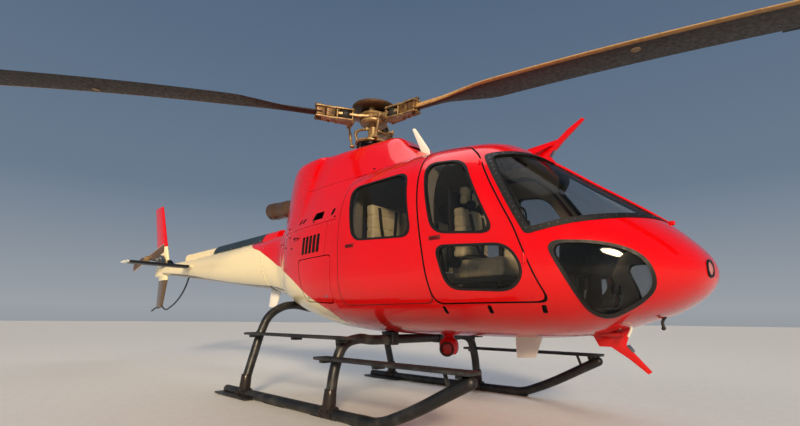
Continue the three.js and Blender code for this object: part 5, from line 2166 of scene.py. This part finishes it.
        dress(joined("fixed", *fixed), "mast_and_servos", DARK_STEEL, "airframe", "machined_metal",
              "mast_housing", datum=HUB)

    def build(self) -> None:
        """Builds and dresses the main rotor."""
        self.head()
        self.controls()
        self.blades()


@dataclass
class LandingGear:
    """Skids, cross tubes, clamps and steps."""

    track: float = 1120
    tube: float = 46
    rear: float = -735
    front: float = 710
    rear_arch: tuple[Pair, ...] = ((1128, 130), (1040, 436), (945, 730), (880, 850), (742, 950), (570, 990),
                                   (300, 960))
    front_arch: tuple[Pair, ...] = ((1118, 130), (1046, 480), (975, 600), (815, 652), (640, 640), (300, 640))

    def arch(self, x: float, rows: Sequence[Pair], name: str, node_name: str,
             extra: Sequence[Piece] = ()) -> None:
        """One bowed cross tube with its saddles.

        Args:
            x: Its station.
            rows: Half of its path, across and up.
            name: The piece's name.
            node_name: The solid that it stands for.
            extra: The saddles that it carries.
        """
        path = [(x, -y, z) for y, z in rows] + [(x, y, z) for y, z in reversed(rows)]
        whole = [pipe(path, self.tube, 28, 10), *extra]
        dress(joined(name, *whole), name, POWDER_COAT, "airframe", "black_paint", node_name)

    def skid(self, label: str, side: int) -> None:
        """One skid tube with a capped heel, foot plate, shoes and clamps.

        Args:
            label: The side's name.
            side: One for port, minus one for starboard.
        """
        y = side * self.track
        runner = pipe([(-1130, y, 46), (-400, y, 46), (400, y, 46), (1150, y, 46), (1300, y, 52),
                       (1470, y, 106), (2140, y, 432)],
                      self.tube, 28, 14)
        cap = ball((2140, y, 432), self.tube * 0.98, 24)
        flat = block((-1190, y - 120, 8), (-510, y + 120, 26), 4)
        combine(runner, Boolean.CUT, cube((-3000, -3000, -200), (4000, 3000, 1.0)))
        shoes = [block((x, y - 30, 0.2), (x + 360, y + 30, 14), 3) for x in (-1080, -300, 480, 1000)]
        clamps = []
        for x in (self.rear, self.front):
            clamps.append(lathe([(47, -78), (58, -74), (58, -58), (52, -54), (52, 54), (58, 58), (58, 74),
                                 (47, 78)], "X", (x, y, 50), 40))
            clamps.append(rod((x, side * (self.track + 6), 60), (x, side * (self.track - 12), 240), 60, 52,
                              32, 4))
            for dx in (-40, 40):
                clamps += [rod((x + dx, y + side * 40, 70), (x + dx, y + side * 66, 70), 10, sides=6, edge=1)]
        dress(joined("skid", runner, cap, flat, *shoes), f"skid_tube_{label}", POWDER_COAT, "airframe",
              "black_paint", f"skid_{label}")
        dress(joined("clamps", *clamps), f"skid_clamps_{label}", BLACK_PAINT, "airframe", "black_paint")

    def steps(self, label: str, side: int) -> None:
        """The long cabin step and the lower entry step, edged and gritted on top.

        Args:
            label: The side's name.
            side: One for port, minus one for starboard.
        """
        # Columns: back, front, near side, level, name
        for back, front, near, level, name in ((-800, 890, 985, 655, "cabin"),
                                               (560, 2180, 1045, 480, "entry")):
            low, high = sorted((near * side, (near + 150) * side))
            board = block((back, low, level), (front, high, level + 26), 6, 3)
            with editing(board):
                choose(board, lambda _, normal: normal.z > 0.95)
                bpy.ops.mesh.inset(thickness=9 * MM, depth=-2 * MM)
            brackets = [block((x - 26, low + 25, level - 26), (x + 26, high - 25, level + 4), 5) for x in
                        ([-700, 100, 780] if name == "cabin" else [640, 1300, 2080])]
            if name == "cabin":
                legs = [pipe([(self.front, 1030 * side, 560), (self.front, 1040 * side, 660)], 26, 16, 4),
                        pipe([(self.rear, 975 * side, 690), (self.rear, 1010 * side, 668)], 26, 16, 4)]
            else:
                legs = [pipe([(self.front, 1062 * side, 410), (self.front, 1080 * side, 492)], 24, 16, 4),
                        pipe([(2060, 1120 * side, 392), (2060, 1118 * side, 490)], 16, 12, 4),
                        pipe([(1980, 1120 * side, 352), (1930, 1118 * side, 488)], 14, 12, 4)]
            dress(joined("board", board, *brackets, *legs), f"{name}_step_board_{label}", POWDER_COAT,
                  "airframe", "black_paint", f"{name}_step_{label}")
            tape = [block((x, low + 16, level + 22), (x + 150, high - 16, level + 27.4), 1) for x in
                    np.arange(back + 30, front - 160, 172)]
            dress(joined("tape", *tape), f"{name}_step_grip_{label}", GRIP_TAPE, "airframe", "black_paint")

    def build(self) -> None:
        """Builds and dresses the landing gear."""
        self.arch(self.rear, self.rear_arch, "rear_arch_tube", "rear_cross_tube")
        saddles = [beside(side, (self.front - 60, 330, 585),
                          (self.front + 60, 420, CABIN.belly(self.front, 380) + 2), 8, 3)
                   for side in SIDES.values()]
        self.arch(self.front, self.front_arch, "front_arch_tube", "front_cross_tube", saddles)
        for label, side in SIDES.items():
            self.skid(label, side)
            self.steps(label, side)


@dataclass
class Pad:
    """A stuffed cushion: its corners, and how many sewn channels run across it."""

    name: str
    low: Triple
    high: Triple
    channels: int = 3
    axis: int = 0
    swell: float = 14
    voxel: float = 12

    def build(self) -> Piece:
        """Models, swells and sews the cushion.

        Returns:
            The mesh.
        """
        shrink = self.swell * 0.7
        low = tuple(v + shrink for v in self.low)
        high = tuple(v - shrink for v in self.high)
        pad = bevel(cube(low, high), 16, 3)
        with editing(pad):
            bpy.ops.mesh.subdivide(number_cuts=4)
        modify(pad, "REMESH", mode="VOXEL", voxel_size=self.voxel * MM)
        self.inflate(pad)
        modify(pad, "SUBSURF", levels=1, render_levels=1)
        self.sew(pad)
        return pad

    def inflate(self, pad: Piece) -> None:
        """Swells the cushion under pressure, no point further than the swell.

        Args:
            pad: The cushion's mesh.
        """
        before = [v.co.copy() for v in pad.data.vertices]
        cloth = pad.modifiers.new("Cloth", "CLOTH")
        cloth.settings.quality = 4
        cloth.settings.use_pressure = True
        cloth.settings.uniform_pressure_force = 4
        cloth.settings.effector_weights.gravity = 0
        cloth.point_cache.frame_end = 20
        for step in range(1, 17):
            bpy.context.scene.frame_set(step)
        activate(pad)
        bpy.ops.object.modifier_apply(modifier=cloth.name)
        limit = self.swell * MM
        for vertex, old in zip(pad.data.vertices, before):
            move = vertex.co - old
            if move.length > limit:
                vertex.co = old + move.normalized() * limit
        bpy.context.scene.frame_set(1)

    def sew(self, pad: Piece) -> None:
        """Pulls the cover in along evenly spaced seams.

        Args:
            pad: The cushion's mesh.
        """
        count = len(pad.data.vertices)
        spots, normals = np.empty((2, count * 3))
        pad.data.vertices.foreach_get("co", spots)
        pad.data.vertices.foreach_get("normal", normals)
        spots, normals = spots.reshape(-1, 3), normals.reshape(-1, 3)
        for seam in np.linspace(self.low[self.axis], self.high[self.axis], self.channels + 2)[1:-1]:
            off = spots[:, self.axis] - seam * MM
            spots = spots - normals * 0.007 * np.exp(-((off / 0.009) ** 2))[:, None]
        pad.data.vertices.foreach_set("co", spots.ravel())
        pad.data.update()


@dataclass
class Interior:
    """Seats, belts, instrument panel and flight controls."""

    floor: float = 920

    def seat(self, label: str, x: float, y: float, width: float, solid: str) -> None:
        """A front seat: pan, back, head rest, shell and belts.

        Args:
            label: Whose seat it is.
            x: The station of its back.
            y: Its middle, across.
            width: Its width.
            solid: The solid that it stands for.
        """
        half = width / 2
        base, back = self.floor + 240, self.floor + 400
        pads = [Pad(f"{label}_seat_pan", (x + 5, y - half + 10, base), (x + 462, y + half - 10, back - 5), 3,
                    0),
                Pad(f"{label}_seat_back", (x - 30, y - half + 14, back),
                    (x + 82, y + half - 14, self.floor + 860), 4, 2),
                Pad(f"{label}_head_rest", (x - 28, y - 120, self.floor + 880),
                    (x + 70, y + 120, self.floor + 1050), 1, 2)]
        for number, pad in enumerate(pads):
            piece = dress(pad.build(), pad.name, CREAM_HIDE, "airframe", "seat_leather",
                          *([solid] if number == 0 else []))
        frame_parts = [block((x - 48, y - half - 4, back - 60), (x - 30, y + half + 4, self.floor + 1000), 8,
                             3),
                       block((x + 10, y - half - 2, base - 40), (x + 450, y + half + 2, base + 6), 10, 3),
                       block((x + 50, y - half + 60, self.floor + 1), (x + 380, y - half + 84, base - 30), 5),
                       block((x + 50, y + half - 84, self.floor + 1), (x + 380, y + half - 60, base - 30), 5)]
        dress(joined("shell", *frame_parts), f"{label}_seat_shell", DARK_TRIM, "airframe", "panel_plastic")
        belts = []
        for s in (-1, 1):
            belts.append(strap([(x - 36, y + s * 90, self.floor + 860),
                                (x + 60, y + s * 92, self.floor + 850),
                                (x + 102, y + s * 88, self.floor + 700),
                                (x + 108, y + s * 60, self.floor + 560),
                                (x + 128, y + s * 14, self.floor + 455)], 44, 3, (0, 1, 0)))
            belts.append(strap([(x + 60, y + s * (half + 6), self.floor + 330),
                                (x + 90, y + s * (half - 16), self.floor + 418),
                                (x + 130, y + s * 90, self.floor + 430),
                                (x + 134, y + s * 10, self.floor + 436)], 44, 3, (1, 0, 0.3)))
        belts.append(lathe([(0, 0), (34, 0), (36, 6), (30, 14), (0, 15)], "Z", (x + 134, y, self.floor + 434),
                           24))
        dress(joined("belts", *belts), f"{label}_belts", BELT, "airframe", "seat_leather")

    def bench(self) -> None:
        """The rear bench for three, with its belts."""
        x, half = 640, 680
        for k in range(3):
            low, high = -half + k * 2 * half / 3 + 6, -half + (k + 1) * 2 * half / 3 - 6
            pan = Pad(f"bench_pan_{k + 1}", (x + 5, low, self.floor + 250), (x + 462, high, self.floor + 398),
                      2, 0)
            back = Pad(f"bench_back_{k + 1}", (x - 34, low, self.floor + 402),
                       (x + 80, high, self.floor + 1050), 4, 2)
            for pad in (pan, back):
                nodes = ["rear_bench"] if (k == 0 and pad is pan) else []
                dress(pad.build(), pad.name, CREAM_HIDE, "airframe", "seat_leather", *nodes)
        frame_parts = [block((x - 52, -half, self.floor + 200), (x - 38, half, self.floor + 1030), 6),
                       block((x, -half, self.floor + 205), (x + 450, half, self.floor + 252), 10, 3)]
        frame_parts += [block((x + 40, y - 14, self.floor + 1), (x + 400, y + 14, self.floor + 210), 5)
                        for y in (-600, 0, 600)]
        dress(joined("frame", *frame_parts), "bench_frame", DARK_TRIM, "airframe", "panel_plastic")
        belts = [strap([(x + 82, y + s * 120, self.floor + 1000), (x + 92, y + s * 90, self.floor + 760),
                        (x + 120, y + s * 20, self.floor + 440)], 44, 3, (0, 1, 0)) for y in (-453, 0, 453)
                 for s in (-1, 1)]
        dress(joined("bench_belts", *belts), "bench_belts", BELT, "airframe", "seat_leather")

    def panel(self) -> None:
        """The instrument panel: hood, pedestal, dials and two displays."""
        hood = slab([(2395, -330, 1170), (2420, -330, 1560), (2560, -330, 1590), (2700, -330, 1500),
                     (2690, -330, 1440), (2560, -330, 1180)],
                    (0, 660, 0))
        bevel(hood, 22, 4, 30)
        pedestal = bevel(slab([(2150, -112, 921), (2150, -112, 1120), (2240, -112, 1190), (2400, -112, 1215),
                               (2560, -112, 1215), (2560, -112, 921)], (0, 224, 0)), 10, 3, 30)
        dress(joined("panel", hood, pedestal), "panel_hood", DARK_TRIM, "airframe", "panel_plastic",
              "instrument_panel")
        bezels, faces = [], []
        for y in (-240, -140, 140, 240):
            for z in (1270, 1375, 1480):
                x = 2400 + (z - 1170) * 25 / 390
                bezels.append(lathe([(46, 12), (46, -6), (40, -12), (36, -10), (36, 12)], "X", (x - 2, y, z),
                                    32))
                faces.append(lathe([(0, 2), (37, 2), (37, -3), (0, -3)], "X", (x - 2, y, z), 32))
        for z in (1300, 1455):
            x = 2400 + (z - 1170) * 25 / 390
            bezels.append(block((x - 14, -92, z - 72), (x + 6, 92, z + 72), 6))
            faces.append(block((x - 17, -80, z - 60), (x - 13, 80, z + 60), 2))
        for k in range(4):
            faces.append(block((2165 + 58 * k, -84, 1140 + 22 * k), (2212 + 58 * k, 84, 1152 + 22 * k), 3))
        dress(joined("bezels", *bezels), "instrument_bezels", DARK_TRIM, "airframe", "panel_plastic")
        dress(joined("faces", *faces), "instrument_faces", DISPLAY, "airframe", "tinted_glass")

    def controls(self) -> None:
        """Cyclic sticks, collective levers and pedals."""
        parts, grips = [], []
        for y in (-400, 400):
            parts.append(pipe([(2190, y, 921), (2150, y, 1100), (2200, y, 1260), (2150, y, 1370)], 12, 16, 8))
            grips.append(pipe([(2158, y, 1352), (2142, y, 1400), (2150, y, 1470)], 21, 16, 8))
            parts.append(pipe([(1760, y + 255, 930), (1900, y + 255, 1010), (2040, y + 255, 1120)], 13, 16,
                              6))
            grips.append(pipe([(2000, y + 255, 1090), (2080, y + 255, 1155)], 20, 16, 6))
            for s in (-1, 1):
                parts.append(pipe([(2560, y + s * 90, 925), (2590, y + s * 90, 1060)], 9, 12, 6))
                grips.append(block((2572, y + s * 90 - 38, 1050), (2596, y + s * 90 + 38, 1130), 6))
        dress(joined("levers", *parts), "control_levers", STEEL, "airframe", "machined_metal")
        dress(joined("grips", *grips), "control_grips", DARK_TRIM, "airframe", "panel_plastic")

    def overhead(self) -> None:
        """The overhead console with its knobs, and two headsets."""
        console = block((1420, -170, 2248), (1930, 170, 2284), 14, 3)
        knobs = [rod((1460 + 70 * i, y, 2250), (1460 + 70 * i, y, 2230), 11, sides=16, edge=2)
                 for i in range(7) for y in (-90, 0, 90)]
        dress(joined("console", console, *knobs), "overhead_console", DARK_TRIM, "airframe", "panel_plastic")
        headset = []
        for y in (-400, 400):
            headset += [pipe([(1735, y - 85, 1800), (1740, y - 70, 1905), (1742, y, 1935),
                              (1740, y + 70, 1905), (1735, y + 85, 1800)], 9, 12, 8),
                        rod((1735, y - 100, 1790), (1735, y - 60, 1790), 42, sides=24, edge=10),
                        rod((1735, y + 60, 1790), (1735, y + 100, 1790), 42, sides=24, edge=10)]
        dress(joined("headsets", *headset), "headsets", DARK_TRIM, "airframe", "panel_plastic")

    def build(self) -> None:
        """Builds and dresses the cabin's fittings."""
        self.seat("pilot", 1650, -400, 460, "pilot_seat")
        self.seat("co_pilot", 1650, 400, 460, "co_pilot_seat")
        self.bench()
        self.panel()
        self.controls()
        self.overhead()


@dataclass
class Fittings:
    """Wire cutters, antennas, lamp and probe."""

    def cutters(self) -> None:
        """The wire cutters above and below the nose, each with a steel jaw."""
        upper = plate([(2010, 2290), (2270, 2080), (2287, 2145), (2235, 2222), (2262, 2250), (2345, 2328),
                       (2530, 2470), (2512, 2490), (2389, 2425), (2300, 2360), (2018, 2345)], 10, 0, 3)
        braces = [slab([(2040, side * 95, 2285), (2100, side * 95, 2250), (2290, side * 4, 2330),
                        (2275, side * 4, 2350)],
                       (0, -4 * side, 0)) for side in SIDES.values()]
        ends = [(x, CABIN.crown(x, 0) + rise) for x, rise in ((2005, -8), (2190, -8), (2190, 9), (2005, 9))]
        foot = slab([(x, -50, z) for x, z in ends], (0, 100, 0))
        dress(joined("upper", upper, *braces, foot), "upper_wire_cutter_plate", RED_PAINT, "airframe",
              "red_paint", "upper_wire_cutter")
        jaw = plate([(2230, 2214), (2262, 2246), (2284, 2268), (2262, 2272), (2226, 2232)], 13, 0, 1)
        dress(jaw, "upper_wire_cutter_jaw", STEEL, "airframe", "machined_metal")
        lower = plate([(2470, 800), (2790, 815), (2765, 720), (2745, 660), (2905, 478), (2882, 460),
                       (2760, 560), (2640, 640), (2555, 640)],
                      10, 0, 3)
        foot = block((2500, -45, CABIN.belly(2620, 0) - 22), (2740, 45, CABIN.belly(2620, 0) + 12), 8, 3)
        dress(joined("lower", lower, foot), "lower_wire_cutter_plate", RED_PAINT, "airframe", "red_paint",
              "lower_wire_cutter")
        jaw = plate([(2748, 654), (2790, 606), (2800, 616), (2766, 662)], 13, 0, 1)
        dress(jaw, "lower_wire_cutter_jaw", STEEL, "airframe", "machined_metal")

    def antennas(self) -> None:
        """Blade antennas on the roof, the belly and the boom, the belly's on a base plate."""
        # Columns: name, solid, y, side outline of x and z, base plate (x, x, z)
        rows = (
            ("roof", "roof_antenna", -300, [(1052, 2440), (1142, 2440), (1128, 2500), (950, 2764),
                                            (930, 2774), (910, 2766), (985, 2600)], None),
            ("belly", "belly_antenna", 0, [(1855, 720), (2070, 720), (2098, 690), (2034, 530), (2020, 520),
                                           (1872, 512), (1860, 520)],
             (1840, 2085, 692)),
            ("boom", "rear_antenna", 0, [(-2165, 1330), (-1950, 1330), (-1948, 1160), (-2040, 998),
                                         (-2060, 988), (-2226, 1008), (-2232, 1020)],
             None),
        )
        for name, solid, y, outline, base in rows:
            parts = [plate(outline, 8, y, 4)]
            if base:
                parts.append(block((base[0], y - 30, base[2] - 8), (base[1], y + 30, base[2] + 8), 4))
            dress(joined(name, *parts), f"{name}_antenna_blade", WHITE_PLASTIC, "airframe", "cream_paint",
                  solid)

    def lamp(self) -> None:
        """The steerable search lamp under the belly, and the pressure probe at the chin."""
        shell = lathe([(0, 498), (66, 500), (84, 520), (94, 548), (95, 600), (84, 632), (58, 652), (48, 668),
                       (48, 720), (0, 720)], "Z",
                      (1130, 0, 0), 48)
        dress(shell, "belly_lamp_shell", RED_PAINT, "airframe", "red_paint", "belly_lamp")
        beam = (Vector((1142, -26, 562)), Vector((0.42, -0.9, -0.12)))
        for profile, name, finish, slot in (([(48, 40), (66, 52), (72, 74), (66, 78), (56, 70), (54, 40)],
                                             "rim", BLACK_PAINT, "black_paint"),
                                            ([(0, 40), (55, 40), (55, 66), (40, 72), (0, 76)], "lens", GLASS,
                                             "tinted_glass")):
            dress(stood(lathe(profile, "X", steps=40), beam, "X"), f"belly_lamp_{name}", finish, "airframe",
                  slot)
        probe = pipe([(2740, -120, CABIN.belly(2740, 120) + 5), (2790, -120, 812), (2815, -120, 800),
                      (2796, -120, 722)], 9, 16, 8)
        dress(probe, "pressure_probe", WHITE_PLASTIC, "airframe", "machined_metal")
        sensor = pipe([(3015, 0, CABIN.belly(3015, 0) + 10), (2990, 0, 828), (2994, 0, 790)], 10, 16, 6)
        dress(joined("sensor", sensor, ball((2994, 0, 784), 15)), "belly_sensor", DARK_TRIM, "airframe",
              "panel_plastic")
        beacon = lathe([(0, 0), (38, 0), (40, 8), (34, 30), (20, 48), (0, 54)], "Z",
                       (-4550, 0, BOOM.crown(-4550, 0) + 30), 32)
        dress(beacon, "boom_beacon", LENS, "airframe", "tinted_glass")

    def build(self) -> None:
        """Builds and dresses the outer fittings."""
        self.cutters()
        self.antennas()
        self.lamp()


@dataclass
class Studio:
    """The camera where the photographer stood, a pale floor and soft lights."""

    position: Triple = (4.922, -3.535, 0.826)
    azimuth: float = 43.28
    pitch: float = 7.87
    roll: float = 0.48
    lens: float = 19.92
    image: Pair = (800, 426)
    axis_row: float = 258.85
    sky: Stops = ((0.0, "b9bcc0"), (0.14, "d3dae2"), (0.4, "93a9c2"), (1.0, "5f7ea3"))

    def camera(self) -> None:
        """The camera, looking back past the nose along the starboard side."""
        bpy.ops.object.camera_add(location=self.position)
        camera = bpy.context.object
        a, e, r = (math.radians(v) for v in (self.azimuth, self.pitch, self.roll))
        ahead = Vector((-math.sin(a) * math.cos(e), math.cos(a) * math.cos(e), math.sin(e)))
        right = Vector((math.cos(a), math.sin(a), 0))
        up = right.cross(ahead)
        level = Matrix((right * math.cos(r) + up * math.sin(r), up * math.cos(r) - right * math.sin(r),
                        -ahead)).transposed()
        camera.rotation_euler = level.to_euler()
        camera.data.sensor_width = 36
        camera.data.lens = self.lens
        camera.data.shift_y = (self.axis_row - self.image[1] / 2) / self.image[0]
        camera.data.clip_end = 400
        bpy.context.scene.camera = camera

    def soft_box(self, place: Triple, size: Pair, power: float) -> None:
        """An overhead soft box of a size in metres.

        Args:
            place: Where it hangs.
            size: Its size.
            power: Its power.
        """
        bpy.ops.object.light_add(type="AREA", location=place)
        lamp = bpy.context.object.data
        lamp.shape = "RECTANGLE"
        lamp.size, lamp.size_y = size
        lamp.energy = power

    def flood(self, place: Triple, power: float, spread: float, colour: str, shine: bool) -> None:
        """A far flood light behind a diffuser, which lights the floor evenly.

        Args:
            place: The direction that it shines from.
            power: Its strength.
            spread: How wide it looks, in degrees.
            colour: Its colour.
            shine: Whether it shows in reflections.
        """
        bpy.ops.object.light_add(type="SUN", location=place)
        lamp = bpy.context.object
        lamp.data.angle = math.radians(spread)
        lamp.data.energy = power
        lamp.data.color = srgb(colour)[:3]
        lamp.visible_glossy = shine
        lamp.rotation_euler = Vector(place).to_track_quat("Z", "Y").to_euler()

    def build(self) -> None:
        """Sets the camera, the floor and the lights."""
        self.camera()
        bpy.ops.object.select_all(action="DESELECT")
        bpy.ops.mesh.primitive_circle_add(vertices=96, radius=120, fill_type="NGON", location=(0, 0, -0.001))
        floor = bpy.context.object
        floor.name = "studio_floor"
        floor.data.materials.append(FLOOR)
        self.flood((10.0, -9.0, 5.2), 4.0, 12, "ffe4bd", True)
        self.flood((-5.0, -10.0, 6.0), 0.8, 40, "fff0dc", False)
        self.flood((-6.0, 9.0, 8.0), 1.3, 40, "eef3ff", False)
        self.soft_box((1.0, 1.0, 11.5), (10, 6), 200)
        world = bpy.data.worlds.new("studio")
        bpy.context.scene.world = world
        world.use_nodes = True
        tree = world.node_tree
        tree.nodes.clear()
        way = node(tree, "ShaderNodeSeparateXYZ", {0: node(tree, "ShaderNodeTexCoord").outputs["Generated"]})
        height = node(tree, "ShaderNodeMapRange", {"Value": way.outputs[2], "From Min": -0.1,
                                                   "From Max": 0.8})
        sky = node(tree, "ShaderNodeValToRGB", {"Fac": height.outputs[0]}, self.sky)
        light = node(tree, "ShaderNodeBackground", {"Color": sky.outputs["Color"], "Strength": 0.5})
        node(tree, "ShaderNodeOutputWorld", {"Surface": light.outputs[0]})


def engine_finish() -> None:
    """Gives the engine block, whose shape is already right, its cast metal."""
    engine = frame["nodes"]["engine"]
    engine.data.materials.clear()
    engine.data.materials.append(CAST)


def main() -> None:
    """Builds the helicopter's assemblies in order."""
    logging.basicConfig(level=logging.INFO, format="%(message)s")
    Studio().build()
    for assembly in (Cabin(), Doors(), RearBody(), Exhaust(), Tail(), TailRotor(), MainRotor(), LandingGear(),
                     Interior(), Fittings()):
        assembly.build()
        log.info("%s done", type(assembly).__name__)
    drop_masters()
    engine_finish()
    view = bpy.context.scene.view_settings
    view.view_transform = "Standard"


if __name__ == "__main__":
    main()
